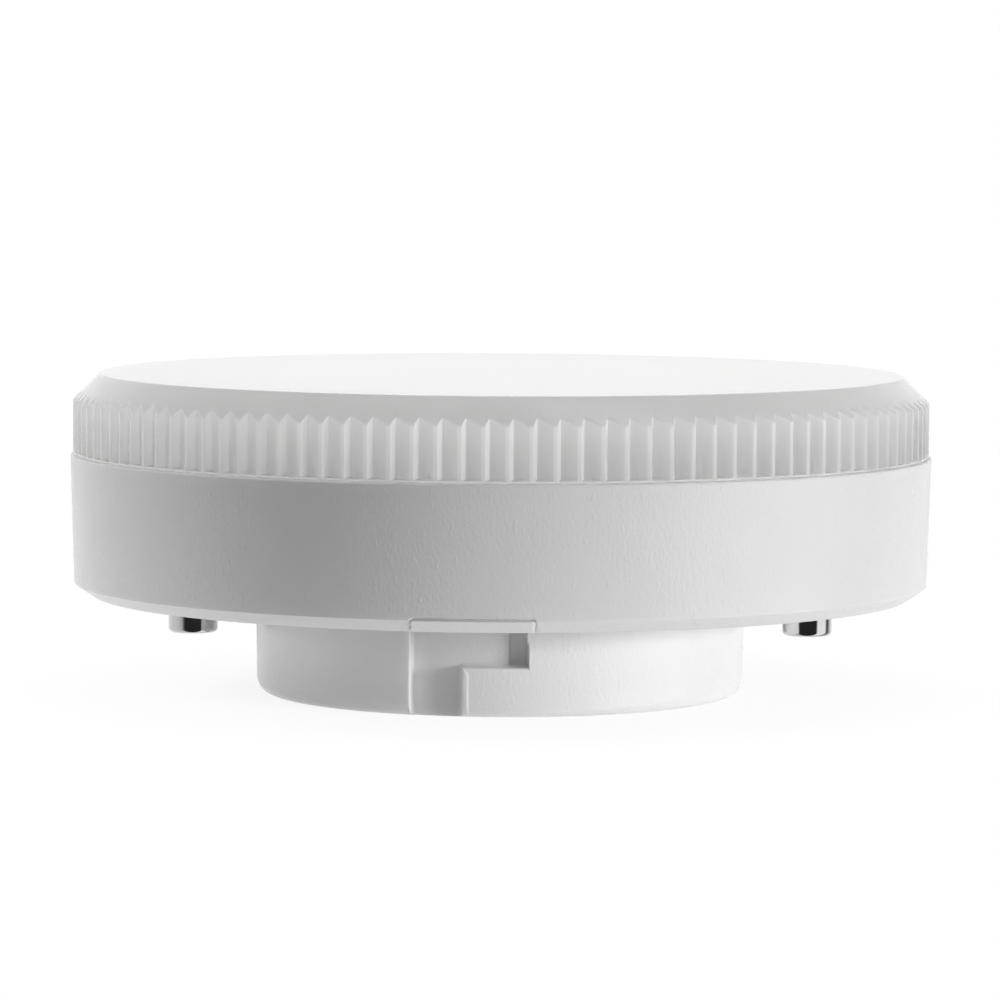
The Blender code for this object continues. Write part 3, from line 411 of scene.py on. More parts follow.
class Nodes:
    """Adds nodes to one tree."""

    def __init__(self, tree):
        self.tree = tree

    def fill(self, socket, value):
        if isinstance(value, Wire):
            self.tree.links.new(value.socket, socket)
        else:
            socket.default_value = value

    def add(self, kind, settings=None, values=None, output=0):
        """One node: its settings first, then values or links for its sockets, by name or place."""
        node = self.tree.nodes.new(kind)
        for name, setting in (settings or {}).items():
            if name == "stops":
                self.set_stops(node.color_ramp, setting)
            else:
                setattr(node, name, setting)
        for name, value in (values or {}).items():
            self.fill(node.inputs[name], value)
        return Wire(self, node.outputs[output])

    def set_stops(self, colour_ramp, stops):
        while len(colour_ramp.elements) < len(stops):
            colour_ramp.elements.new(0.5)
        for element, (position, level) in zip(colour_ramp.elements, stops):
            element.position = position
            element.color = grey(level)

    def maths(self, operation, *values, clamp=False):
        settings = {"operation": operation, "use_clamp": clamp}
        return self.add("ShaderNodeMath", settings, dict(enumerate(values)))

    def vectors(self, operation, *values, output="Vector"):
        return self.add("ShaderNodeVectorMath", {"operation": operation}, dict(enumerate(values)), output)

    def length(self, spot):
        return self.vectors("LENGTH", spot, output="Value")

    def ramp(self, value, start, end):
        """How far a value is on its way from start to end, held between 0 and 1."""
        return self.maths("DIVIDE", value - start, end - start, clamp=True)

    def levels(self, stops, share):
        """The brightness that a row of stops gives for a share."""
        return self.add("ShaderNodeValToRGB", {"stops": stops}, {0: share})

    def mix(self, share, first, second):
        """Blend two colours."""
        settings = {"data_type": "RGBA"}
        return self.add("ShaderNodeMix", settings, {0: share, 6: first, 7: second}, output=2)

    def blend(self, share, first, second):
        """Blend two shaders."""
        return self.add("ShaderNodeMixShader", None, {0: share, 1: first, 2: second})

    def place(self, centre=None):
        """Object coordinates from the origin or a centre."""
        coordinates = self.add("ShaderNodeTexCoord", output="Object")
        return self.vectors("SUBTRACT", coordinates, centre) if centre else coordinates

    def stretch(self, factors, spot=None):
        """Object coordinates, or a vector, scaled along each axis."""
        return self.vectors("MULTIPLY", spot or self.place(), factors)

    def axis(self, spot, name):
        return self.add("ShaderNodeSeparateXYZ", None, {0: spot}, name)

    def here(self, output):
        """What the surface says of itself, such as its normal or whether it is seen from behind."""
        return self.add("ShaderNodeNewGeometry", output=output)

    def ray(self, kind):
        """Whether the ray that meets the surface is of a kind."""
        return self.add("ShaderNodeLightPath", output=f"Is {kind} Ray")

    def noise(self, size, detail, rough=0.5, spot=None):
        """Noise whose patches are about as wide as the given size."""
        values = {"Vector": spot or self.place(), "Scale": 1 / size, "Detail": detail, "Roughness": rough}
        return self.add("ShaderNodeTexNoise", None, values)

    def bump(self, height, distance, strength, below=None):
        """A normal with relief on it, over another relief where there is one below."""
        values = {"Height": height, "Distance": distance, "Strength": strength}
        if below:
            values["Normal"] = below
        return self.add("ShaderNodeBump", None, values)


def grey(level):
    return (level, level, level, 1.0)


def opaque(colour, share=1.0):
    """A colour at a share of its brightness."""
    return (*(share * part for part in colour), 1.0)


def finish(name, **constants):
    """A Principled material with its constant sockets set, and the adder for its nodes."""
    material = bpy.data.materials.new(name)
    material.use_nodes = True
    nodes = Nodes(material.node_tree)
    shader = material.node_tree.nodes["Principled BSDF"]
    for socket, value in constants.items():
        shader.inputs[socket.replace("_", " ")].default_value = value
    return material, nodes, shader


def dress(nodes, shader, colour, roughness, normal):
    """Fill the sockets that every finish varies."""
    nodes.fill(shader.inputs["Base Color"], colour)
    nodes.fill(shader.inputs["Roughness"], roughness)
    nodes.fill(shader.inputs["Normal"], normal)


def put_out(nodes, shader):
    """Make a shader the material's surface."""
    nodes.fill(nodes.tree.nodes["Material Output"].inputs["Surface"], shader)


def housing_finish():
    """Matt white moulded plastic: a spark grain, stronger in patches, with a few raised specks."""
    constants = {"Subsurface_Radius": (1.0, 1.0, 1.0), "Subsurface_Scale": 0.6 * MM}
    material, nodes, shader = finish("housing_plastic", IOR=1.5, Subsurface_Weight=0.5, **constants)
    squeezed = nodes.stretch((1.0, 1.0, GRAIN_SQUEEZE))
    grain = nodes.noise(GRAIN_SIZE, 2.0, spot=squeezed)
    cloud = nodes.noise(PATCH_SIZE, 2.0)
    patch = nodes.ramp(nodes.noise(PATCH_SIZE, 1.0, spot=nodes.place(PATCH_CENTRE)), *PATCH_NOISE)
    speck = nodes.ramp(nodes.noise(SPECK_SIZE, 0.0, spot=squeezed), *SPECK_NOISE)
    relief = grain * (GRAIN_LEAST + patch) + SPECK_SHARE * speck
    colour = nodes.mix(cloud, grey(0.78), grey(0.82))
    dress(nodes, shader, colour, 0.2 + 0.1 * grain, nodes.bump(relief, GRAIN_DEPTH, 1.0))
    return material


def painted_highlight_share(nodes):
    """How much painted highlight a place gets: fully on the grooves' steep sides, in part on crests and
    lip.
    """
    spot = nodes.stretch((1.0, 1.0, 0.0))
    away = nodes.length(spot)
    normal = nodes.here("Normal")
    turned = nodes.axis(spot, "X") * nodes.axis(normal, "Y")
    turned = turned - nodes.axis(spot, "Y") * nodes.axis(normal, "X")
    steep = nodes.ramp(turned / away, *STEEP_TURN)
    return nodes.maths("MAXIMUM", CREST_HIGHLIGHT_SHARE * nodes.ramp(away, *CREST_RADII), steep)


def spread_normal(nodes):
    """The normal that light spread in the milk sees: the grooves' walls turn towards the skirt's round."""
    outward = nodes.vectors("NORMALIZE", nodes.stretch((1.0, 1.0, 0.0)))
    normal = nodes.here("Normal")
    facing = nodes.vectors("DOT_PRODUCT", normal, outward, output="Value")
    upright = nodes.maths("MAXIMUM", 1.0 - 2.0 * nodes.maths("ABSOLUTE", nodes.axis(normal, "Z")), 0.0)
    return nodes.vectors("NORMALIZE", nodes.mix(MILK_SPREAD * facing * upright, normal, outward))


def diffuser_finish():
    """Milky polycarbonate that lets light into its body, under a glossy skin, with painted highlights on
    the grooves' steep sides, crests and lip.
    """
    material, nodes, shader = finish("diffuser_milk", IOR=1.5, Specular_IOR_Level=0.0)
    cloud = nodes.noise(6.0 * MM, 2.0)
    skin = nodes.noise(0.5 * MM, 2.0)
    spread = spread_normal(nodes)
    dress(nodes, shader, nodes.mix(cloud, grey(0.90), grey(0.92)), 0.5, spread)
    through = nodes.add("ShaderNodeBsdfTranslucent", None, {"Color": grey(MILK_CLEAR), "Normal": spread})
    body = nodes.blend(MILK_THROUGH, Wire(nodes, shader.outputs[0]), through)
    # Painted highlight: extra white diffuse added on the grooves' steep sides, crests and lip, for their
    # bright lines
    white = nodes.mix(painted_highlight_share(nodes), grey(0.0), grey(EDGE_HIGHLIGHT_WHITE))
    edges = nodes.add("ShaderNodeBsdfDiffuse", None, {"Color": white})
    body = nodes.add("ShaderNodeAddShader", None, {0: body, 1: edges})
    relief = nodes.bump(skin, 0.01 * MM, 0.3)
    values = {"Color": grey(1.0), "Roughness": 0.1 + 0.06 * skin, "Normal": relief}
    mirror = nodes.add("ShaderNodeBsdfAnisotropic", None, values)
    grazing = nodes.maths("POWER", nodes.add("ShaderNodeLayerWeight", output="Facing"), 4.0)
    share = MIRRORED_HEAD_ON + (1 - MIRRORED_HEAD_ON) * grazing
    put_out(nodes, nodes.blend(share, body, mirror))
    return material


def nickel_finish():
    """Turned brass with bright nickel plate: faint tool rings and stains."""
    material, nodes, shader = finish("nickel_plate", Metallic=1.0)
    rings = nodes.noise(0.06 * MM, 2.0, spot=nodes.stretch((0.02, 0.02, 1.0)))
    stain = nodes.noise(1.2 * MM, 3.0)
    colour = nodes.mix(stain, grey(0.66), grey(0.78))
    dress(nodes, shader, colour, 0.06 + 0.08 * stain, nodes.bump(rings, 0.01 * MM, 0.4))
    return material


def metal_finish(name, colour, roughness, patch):
    """A plain metal with streaks and dull patches."""
    material, nodes, shader = finish(name, Metallic=1.0)
    streaks = nodes.noise(patch, 3.0, 0.6, nodes.stretch((1.0, 0.12, 1.0)))
    streaked = nodes.mix(streaks, opaque(colour, 0.8), opaque(colour))
    dress(nodes, shader, streaked, roughness - 0.1 + 0.2 * streaks, nodes.bump(streaks, 0.01 * MM, 0.4))
    return material


def moulded_finish(name, colour, roughness):
    """A coloured plastic, sleeve or lacquer with a fine grain."""
    material, nodes, shader = finish(name)
    grain = nodes.noise(0.15 * MM, 3.0)
    cloud = nodes.noise(3.0 * MM, 2.0)
    clouded = nodes.mix(cloud, opaque(colour, 0.8), opaque(colour))
    dress(nodes, shader, clouded, roughness - 0.06 + 0.12 * grain, nodes.bump(grain, 0.01 * MM, 0.5))
    return material


def led_finish():
    """A white frame round a yellow phosphor window, which is sunk below the frame's top."""
    material, nodes, shader = finish("led_package", IOR=1.5)
    facing_up = nodes.axis(nodes.here("Normal"), "Z") > 0.9
    sunk = nodes.axis(nodes.place(), "Z") < led_high.z - LED_SINK / 2
    window = facing_up * sunk
    grain = nodes.noise(0.12 * MM, 3.0)
    phosphor = nodes.mix(grain, opaque((0.86, 0.62, 0.08)), opaque((0.95, 0.78, 0.22)))
    colour = nodes.mix(window, grey(0.82), phosphor)
    dress(nodes, shader, colour, 0.3 + 0.2 * window, nodes.bump(grain, 0.01 * MM, 0.5))
    return material


def board_finish(name, mask, track, track_width, pitch):
    """Solder mask over copper: rounded lanes of track show through it as a second shade."""
    material, nodes, shader = finish(name, IOR=1.5)
    cells = {"Vector": nodes.place(), "Scale": 1 / pitch, "Randomness": 0.6}
    edge = nodes.add("ShaderNodeTexVoronoi", {"feature": "DISTANCE_TO_EDGE"}, cells)
    gap = edge * pitch < track_width / 2
    grain = nodes.noise(0.2 * MM, 3.0)
    relief = nodes.bump(gap, 0.03 * MM, 0.6, nodes.bump(grain, 0.005 * MM, 0.4))
    dress(nodes, shader, nodes.mix(gap, opaque(track), opaque(mask)), 0.24 + 0.08 * grain, relief)
    return material


def can_finish(name, node, sleeve):
    """A sleeved can along Y: a pale stripe down one side and a bare metal end."""
    low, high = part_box(node)
    radius = (high.z - low.z) / 2
    half_length = (high.y - low.y) / 2
    material, nodes, shader = finish(name, IOR=1.5)
    place = nodes.place(tuple((low + high) / 2))
    across = nodes.axis(place, "X")
    rise = nodes.axis(place, "Z")
    stripe = across < -0.8 * radius
    from_axis = nodes.maths("SQRT", across * across + rise * rise)
    bare = (nodes.axis(place, "Y") < 0.1 * MM - half_length) * (from_axis < 0.82 * radius)
    grain = nodes.noise(0.3 * MM, 3.0)
    sleeved = nodes.mix(stripe, opaque(sleeve), grey(0.55))
    colour = nodes.mix(bare, sleeved, grey(0.75))
    dress(nodes, shader, colour, 0.28 + 0.12 * grain, nodes.bump(grain, 0.01 * MM, 0.5))
    nodes.fill(shader.inputs["Metallic"], bare)
    return material


def resistor_finish():
    """Lacquer with coloured rings, and tinned leads beyond the body's ends."""
    low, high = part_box("fusible_resistor")
    material, nodes, shader = finish("resistor_body")
    along = nodes.axis(nodes.place(tuple((low + high) / 2)), "X")
    colour = nodes.mix(nodes.noise(1.5 * MM, 2.0), opaque((0.28, 0.45, 0.45)), opaque((0.35, 0.55, 0.55)))
    brown, black, gold = (0.16, 0.06, 0.02), (0.02, 0.02, 0.02), (0.50, 0.33, 0.08)
    for offset, ring in ((-1.9, brown), (-0.9, black), (0.1, black), (1.7, gold)):
        near = nodes.maths("ABSOLUTE", along - offset * MM) < RESISTOR_RING_HALF
        colour = nodes.mix(near, colour, opaque(ring))
    lead = nodes.maths("ABSOLUTE", along) > RESISTOR_HALF
    grain = nodes.noise(0.2 * MM, 3.0)
    colour = nodes.mix(lead, colour, grey(0.62))
    dress(nodes, shader, colour, 0.4 + 0.15 * grain, nodes.bump(grain, 0.01 * MM, 0.5))
    nodes.fill(shader.inputs["Metallic"], lead)
    return material


# Housing

def box_distance(x, z, low_x, high_x, low_z, high_z, corner):
    """Signed distance to a rectangle with round corners, negative inside."""
    across = abs(x - (low_x + high_x) / 2) - (high_x - low_x) / 2 + corner
    along = abs(z - (low_z + high_z) / 2) - (high_z - low_z) / 2 + corner
    outside = math.hypot(max(across, 0.0), max(along, 0.0))
    return outside + min(max(across, along), 0.0) - corner


def slot_distance(x, z):
    """Signed distance to the slot's outline: a stem that is open below, and an arm to the right."""
    beyond = 3 * NECK_HEIGHT
    nick = NICK_DEPTH * ramp(z, NICK_HEIGHT, NICK_HEIGHT + NICK_RAMP)
    whole = box_distance(x, z, SLOT_START, SLOT_END - nick, -beyond, beyond, 0.0)
    ledge = box_distance(x, z, STEM_END, beyond, -beyond, SLOT_LEDGE, SLOT_CORNER)
    return max(whole, -ledge)


def slot_slope(x, z):
    """Direction in which the distance to the slot grows."""
    step = 0.01 * MM
    slope_x = slot_distance(x + step, z) - slot_distance(x - step, z)
    slope_z = slot_distance(x, z + step) - slot_distance(x, z - step)
    length = math.hypot(slope_x, slope_z) or 1.0
    return slope_x / length, slope_z / length


def burr_rise(x, away, slope_x):
    """Height of the fine raised edge beside the slot's right-hand sides, narrow at the arm's end."""
    wide = BURR_WIDTH if x < POCKET_START else BURR_END_WIDTH
    flank = ramp(away, wide + BURR_FLANK / 2, wide - BURR_FLANK / 2)
    return BURR_RISE * eased(flank) * ramp(slope_x, *BURR_FACING)


def slot_edge(distance, depth, draft):
    """Where a point at a distance from the slot's edge goes: its new distance and its depth."""
    lip = min(SLOT_LIP, depth / 2)
    foot = min(SLOT_FOOT, depth / 2)
    if distance >= SLOT_LIP:
        return distance, 0.0
    if distance >= 0:
        turn = (1 - distance / SLOT_LIP) * math.pi / 2
        return SLOT_LIP * (1 - math.sin(turn)), lip * (1 - math.cos(turn))
    inner = -draft - SLOT_FOOT
    middle = inner / 2
    if distance >= middle:
        share = distance / middle
        return -draft * share, lip + (depth - foot - lip) * share
    if distance >= inner:
        turn = (distance / middle - 1) * math.pi / 2
        return -draft - SLOT_FOOT * (1 - math.cos(turn)), depth - foot + foot * math.sin(turn)
    return distance, depth


def neck_point(angle, radius, height, side):
    """A point of the neck's outer face, sunk where it lies in the slot."""
    x = NECK_RADIUS * math.sin(angle)
    away = slot_distance(x, height)
    depth = max(radius - SLOT_FLOOR_RADIUS, 0.0)
    if abs(angle) > NEAR_SLOT or away >= BURR_WIDTH + BURR_FLANK or depth <= 0:
        return polar(radius, FRONT + side + angle, height)
    slope_x, slope_z = slot_slope(x, height)
    radius += burr_rise(x, away, slope_x) * min(depth / SLOT_DEPTH, 1.0)
    if away >= SLOT_LIP:
        return polar(radius, FRONT + side + angle, height)
    depth = max(radius - SLOT_FLOOR_RADIUS, 0.0)
    on_the_left = slope_x < -0.5
    moved, sunk = slot_edge(away, depth, SLOT_LEFT_DRAFT if on_the_left else SLOT_DRAFT)
    x += (moved - away) * slope_x
    height += (moved - away) * slope_z
    in_pocket = ramp(x, POCKET_START, POCKET_START + POCKET_STEP)
    sunk += POCKET_DEPTH * in_pocket * (sunk / depth) ** POCKET_POWER
    reach = radius - sunk
    return polar(reach, FRONT + side + math.asin(x / reach), height)


def land_share(x, along):
    """How far the chamfer is raised: 1 on the land, and below 0 in the fine gutter round it."""
    away = box_distance(x, along, LAND_START, LAND_END, 0.0, 2 * CHAMFER_SLANT, LAND_CORNER)
    gutter = max(1 - abs(away - GUTTER_PLACE) / GUTTER_HALF_WIDTH, 0.0)
    return eased(ramp(away, LAND_EDGE / 2, -LAND_EDGE / 2)) - GUTTER_SHARE * gutter


def column_angles():
    """Angles of the housing's columns for half a turn: close together at the edges of slot and land."""
    close = [offset * FINE_PITCH for offset in range(-14, 13)]
    marks = [math.radians(degrees) for degrees in range(-90, 90, COARSE_DEGREES)]
    for edge in (SLOT_START, STEM_END, POCKET_START, SLOT_END):
        marks += [math.asin((edge + offset) / NECK_RADIUS) for offset in close]
    for edge in (LAND_START, LAND_END):
        marks += [math.asin((edge + offset) / WALL_FOOT_RADIUS) for offset in close]
    marks.sort()
    kept = [marks[0]]
    for mark in marks[1:]:
        if mark - kept[-1] > LEAST_TURN:
            kept.append(mark)
    return kept


def neck_heights():
    """Heights of the neck's rows above its round edge, close together at the slot's ledge."""
    close = [SLOT_LEDGE + offset * FINE_PITCH for offset in range(-8, 12)]
    below = between(NECK_EDGE_ROUND, close[0], 6)
    above = between(close[-1] + LEDGE_GAP, NECK_HEIGHT - NECK_ROOT_ROUND, 8)
    return below + close + above


def rows_of(kind, points):
    """Rows of one kind through (radius, height) points that lie off the land."""
    return [(kind, radius, height, 0.0) for radius, height in points]


def chamfer_rows():
    """Rows up the back chamfer, with the distance from its upper edge for the raised land."""
    rows = [("land", BACK_FACE_RADIUS - EDGE_ROUND, NECK_HEIGHT, CHAMFER_SLANT)]
    steps = 20
    for index in range(steps + 1):
        share = index / steps
        radius = BACK_FACE_RADIUS + CHAMFER_WIDTH * share
        height = NECK_HEIGHT + CHAMFER_HEIGHT * share
        rows.append(("land", radius, height, CHAMFER_SLANT * (1 - share)))
    for index in range(1, 6):
        above = index * LAND_PITCH
        rows.append(("land", WALL_FOOT_RADIUS, CHAMFER_TOP + above, -above))
    return rows


def inner_rows(top):
    """Rows from the rim over the groove for the diffuser's bead to the floor and the neck's hollow."""
    inner_rim = WALL_RADIUS - HOUSING_WALL
    rows = rows_of("plain", [
        (inner_rim + EDGE_ROUND, top),
        (inner_rim, top - EDGE_ROUND),
        (INNER_FOOT_RADIUS + 3 * INNER_LEAN, BEAD_HEIGHT + 2 * BEAD_HALF_HEIGHT),
        (SPIGOT_RADIUS + BEAD_RISE + FIT_GAP, BEAD_HEIGHT),
        (INNER_FOOT_RADIUS + 2 * INNER_LEAN, BEAD_HEIGHT - 2 * BEAD_HALF_HEIGHT),
        (INNER_FOOT_RADIUS, FLOOR_TOP + INNER_BEVEL),
        (INNER_FOOT_RADIUS - INNER_BEVEL, FLOOR_TOP),
    ])
    rows += rows_of("plain", [(radius, FLOOR_TOP) for radius in FLOOR_RINGS])
    rows += rows_of("cavity", [(CAVITY_RADIUS, FLOOR_TOP), (CAVITY_RADIUS, HOUSING_FLOOR)])
    return rows + rows_of("plain", [(HOLLOW_RING, HOUSING_FLOOR)])


def housing_rows():
    """Every row from the neck's end round to the inside, as (kind, radius, height, along)."""
    rows = rows_of("plain", [(radius, 0.0) for radius in END_FACE_RINGS])
    edge_middle = NECK_END_RADIUS - NECK_EDGE_ROUND
    rows += rows_of("neck", arc(edge_middle, NECK_EDGE_ROUND, NECK_EDGE_ROUND, -90, 0, 9)[:-1])
    for height in neck_heights():
        rows.append(("neck", NECK_END_RADIUS + NECK_DRAFT * height / NECK_HEIGHT, height, 0.0))
    root_height = NECK_HEIGHT - NECK_ROOT_ROUND
    rows += rows_of("root", arc(NECK_RADIUS + NECK_ROOT_ROUND, root_height, NECK_ROOT_ROUND, 180, 90, 3))
    back_face = between(BACK_FACE_RING, BACK_FACE_RADIUS - EDGE_ROUND, 6)
    rows += rows_of("plain", [(radius, NECK_HEIGHT) for radius in back_face])
    rows += chamfer_rows()
    top = RIM_TOP + RIM_CLOSE
    for height in between(CHAMFER_TOP + 6 * LAND_PITCH, top - EDGE_ROUND, 12):
        share = (height - CHAMFER_TOP) / (RIM_TOP - CHAMFER_TOP)
        rows.append(("plain", WALL_FOOT_RADIUS + WALL_DRAFT * share, height, 0.0))
    rows += rows_of("plain", arc(WALL_RADIUS - EDGE_ROUND, top - EDGE_ROUND, EDGE_ROUND, 0, 90, 4))
    return rows + inner_rows(top)


def cavity_reach(angle):
    """The neck's hollow steps in behind each slot."""
    x = CAVITY_RADIUS * math.sin(angle)
    if abs(angle) < NEAR_SLOT and SLOT_START - HOUSING_WALL < x < SLOT_END + HOUSING_WALL:
        return SLOT_BACK_RADIUS
    return CAVITY_RADIUS


def root_point(angle, radius, height, side):
    """A point of the round between neck and back face, where the slot's floor runs up to the face."""
    x = NECK_RADIUS * math.sin(angle)
    if abs(angle) >= NEAR_SLOT or slot_distance(x, NECK_HEIGHT) >= 0:
        return polar(radius, FRONT + side + angle, height)
    on_the_face = height > NECK_HEIGHT - NECK_ROOT_ROUND / 100
    reach = radius if on_the_face else SLOT_FLOOR_RADIUS
    return polar(reach, FRONT + side + math.asin(x / reach), height)


def row_point(kind, radius, height, along, angle, side):
    """A point of a row at a column's angle from the middle of its side."""
    if kind == "neck":
        return neck_point(angle, radius, height, side)
    if kind == "root":
        return root_point(angle, radius, height, side)
    if kind == "land" and abs(angle) < NEAR_SLOT:
        radius += LAND_RISE * land_share(radius * math.sin(angle), along)
    if kind == "cavity":
        radius = cavity_reach(angle)
    return polar(radius, FRONT + side + angle, height)


def standing_form(radius, foot):
    """Outline of a round form on the housing's floor, with a rounded foot and top edge."""
    outline = [(0.0, FORM_ROOT), (radius + foot, FORM_ROOT)]
    outline += arc(radius + foot, FLOOR_TOP + foot, foot, -90, -180, 5)
    return outline + arc(radius - EDGE_ROUND, POST_TOP - EDGE_ROUND, EDGE_ROUND, 0, 90, 3)


def add_post(work, angle):
    """A screw post with a blind hole."""
    hole = [(SCREW_HOLE_RADIUS, POST_TOP), (SCREW_HOLE_RADIUS, SCREW_HOLE_BOTTOM), (0.0, SCREW_HOLE_BOTTOM)]
    lathe(work, standing_form(POST_RADIUS, POST_FOOT) + hole, 32, polar(POST_CIRCLE, angle).to_2d())


def add_rest(work, angle):
    """A plain pin under the dish."""
    outline = standing_form(REST_RADIUS, REST_FOOT) + [(0.0, POST_TOP)]
    lathe(work, outline, 24, polar(REST_CIRCLE, angle).to_2d())


def add_clip(work, angle):
    """A hooked post that holds the driver board by its edge."""
    under = driver_high.z + FIT_GAP
    top = under + CLIP_HOOK_HEIGHT
    nose = CLIP_RADIUS - CLIP_HOOK
    outer = CLIP_RADIUS + CLIP_THICKNESS
    outline = [
        (CLIP_RADIUS, FORM_ROOT), (outer, FORM_ROOT), (outer, top - EDGE_ROUND), (outer - EDGE_ROUND, top),
        (CLIP_RADIUS, top), (nose, under + CLIP_NOSE_HEIGHT), (nose, under), (CLIP_RADIUS, under),
    ]
    ends = []
    for side in (-1, 1):
        sideways = Vector((-math.sin(angle), math.cos(angle), 0.0)) * side * CLIP_WIDTH / 2
        ends.append([work.verts.new(polar(radius, angle, height) + sideways) for radius, height in outline])
    band(work, *ends)
    for end in ends:
        work.faces.new(end)


def inner_forms():
    """The moulded posts, rests and clips, as one object of separate closed forms."""
    work = bmesh.new()
    for index in range(FORM_COUNT):
        angle = math.pi / 2 + 2 * math.pi * index / FORM_COUNT
        add_post(work, angle)
        add_rest(work, angle - math.pi / FORM_COUNT)
        add_clip(work, angle - math.pi / FORM_COUNT)
    bmesh.ops.recalc_face_normals(work, faces=work.faces)
    return show("inner_forms", mesh_of("inner_forms", work))


def unite(piece, forms):
    """Join the forms to the piece, which ends as a plain mesh."""
    union = piece.modifiers.new("union", "BOOLEAN")
    union.operation = "UNION"
    union.solver = "EXACT"
    union.object = forms
    mesh = plain_copy(piece)
    piece.modifiers.clear()
    bpy.data.objects.remove(forms)
    mesh.name = piece.name
    piece.data = mesh
    shade(mesh)


def make_housing(material):
    """One closed mesh of rows round the axis, with its slots, lands and hollow."""
    work = bmesh.new()
    columns = [(angle, side) for side in (0.0, HALF_TURN) for angle in column_angles()]
    rings = []
    for row in housing_rows():
        rings.append([work.verts.new(row_point(*row, angle, side)) for angle, side in columns])
    shell(work, rings, (0.0, 0.0, 0.0), (0.0, 0.0, HOUSING_FLOOR))
    housing = show("housing_body", clean_mesh("housing_body", work, material))
    unite(housing, inner_forms())
    return housing


# Diffuser

def groove_columns():
    """(angle, depth) across one pitch: the crest, then the steep side and the long side of a groove."""
    crest = GROOVE_START - CREST_START
    groove = GROOVE_PITCH - crest
    columns = [(CREST_START + crest * share, 0.0) for share in CREST_COLUMNS]
    for share in GROOVE_COLUMNS:
        steep_side = share < GROOVE_DEEPEST
        deep = share / GROOVE_DEEPEST if steep_side else (1 - share) / (1 - GROOVE_DEEPEST)
        depth = GROOVE_STRAIGHT * deep + (1 - GROOVE_STRAIGHT) * eased(deep)
        columns.append((GROOVE_START + groove * share, GROOVE_DEPTH * depth))
    return columns


def diffuser_outline(depth):
    """Outer outline over one column: the top's edge, the bevel, the skirt and its underside."""
    lean = math.atan2(BEVEL_WIDTH, BEVEL_HEIGHT)
    lean_degrees = math.degrees(lean)
    crease = CREASE_RADIUS - CREASE_ROUND * math.tan((math.pi / 2 - lean) / 2)
    outline = [(CREASE_RADIUS - TOP_BAND, LAMP_HEIGHT)]
    outline += arc(crease, LAMP_HEIGHT - CREASE_ROUND, CREASE_ROUND, 90, lean_degrees, 4)
    radius = SKIRT_RADIUS - depth
    corner = SHOULDER + depth * BEVEL_HEIGHT / BEVEL_WIDTH
    back = SHOULDER_ROUND * math.tan(lean / 2)
    from_radius, from_height = outline[-1]
    to_radius = radius - back * math.sin(lean)
    to_height = corner + back * math.cos(lean)
    for share in (0.33, 0.66):
        along_bevel = from_radius + (to_radius - from_radius) * share
        outline.append((along_bevel, from_height + (to_height - from_height) * share))
    outline += arc(radius - SHOULDER_ROUND, corner - back, SHOULDER_ROUND, lean_degrees, 0, 4)
    lip_top = DIFFUSER_BOTTOM + LIP_HEIGHT
    toe = lip_top + TOE_HEIGHT + TOE_SLOPE * depth
    outline += [
        (radius, (toe + corner - back) / 2),
        (radius, toe),
        (radius + TOE_CURL * depth, toe - (TOE_HEIGHT + TOE_SLOPE * depth) / 2),
        (SKIRT_RADIUS, lip_top),
        (SKIRT_RADIUS, UNDERSIDE + 1.25 * UNDERSIDE_ROUND),
    ]
    edge = SKIRT_RADIUS - UNDERSIDE_ROUND
    outline += arc(edge, UNDERSIDE + UNDERSIDE_ROUND, UNDERSIDE_ROUND, 0, -90, 3)[1:]
    return outline + [(SKIRT_RADIUS - UNDERSIDE_WIDTH, UNDERSIDE)]


def diffuser_inside():
    """Inner outline, from the skirt's underside down the spigot and up to the ceiling."""
    inner_spigot = SPIGOT_RADIUS - SPIGOT_WALL
    inner_skirt = SKIRT_RADIUS - DIFFUSER_WALL
    step = DIFFUSER_BOTTOM + SPIGOT_WALL
    drop = DIFFUSER_WALL * math.tan(math.atan2(BEVEL_HEIGHT, BEVEL_WIDTH) / 2)
    return [
        (SPIGOT_RADIUS, UNDERSIDE),
        (SPIGOT_RADIUS, BEAD_HEIGHT + BEAD_HALF_HEIGHT),
        (SPIGOT_RADIUS + BEAD_RISE, BEAD_HEIGHT),
        (SPIGOT_RADIUS, BEAD_HEIGHT - BEAD_HALF_HEIGHT),
        (SPIGOT_RADIUS - SPIGOT_TAPER, SPIGOT_BOTTOM),
        (inner_spigot, SPIGOT_BOTTOM),
        (inner_spigot, step),
        (inner_skirt, step + inner_skirt - inner_spigot),
        (inner_skirt, SHOULDER - drop),
        (CREASE_RADIUS - drop, CEILING),
        (TOP_RING, CEILING),
    ]


def diffuser_sector(material):
    """One pitch of the diffuser, from the middle of its top round to the middle of its ceiling."""
    work = bmesh.new()
    columns = groove_columns()
    columns.append((columns[0][0] + GROOVE_PITCH, columns[0][1]))
    grid = []
    for angle, depth in columns:
        spots = [polar(radius, FRONT + angle, height) for radius, height in diffuser_outline(depth)]
        grid.append([work.verts.new(spot) for spot in spots])
    for left, right in zip(grid, grid[1:]):
        for row in range(len(left) - 1):
            work.faces.new((left[row], left[row + 1], right[row + 1], right[row]))
    ends = (columns[0][0], columns[-1][0])
    middle = work.verts.new((0.0, 0.0, LAMP_HEIGHT))
    ring = [work.verts.new(polar(TOP_RING, FRONT + angle, LAMP_HEIGHT)) for angle in ends]
    work.faces.new((ring[0], ring[1], middle))
    work.faces.new([ring[1], ring[0]] + [column[0] for column in grid])
    previous = [column[-1] for column in reversed(grid)]
    for radius, height in diffuser_inside():
        pair = [work.verts.new(polar(radius, FRONT + angle, height)) for angle in ends]
        work.faces.new(previous + pair)
        previous = [pair[1], pair[0]]
    middle = work.verts.new((0.0, 0.0, CEILING))
    work.faces.new(previous + [middle])
    return show("diffuser_sector", clean_mesh("diffuser_sector", work, material))


# Geometry trees

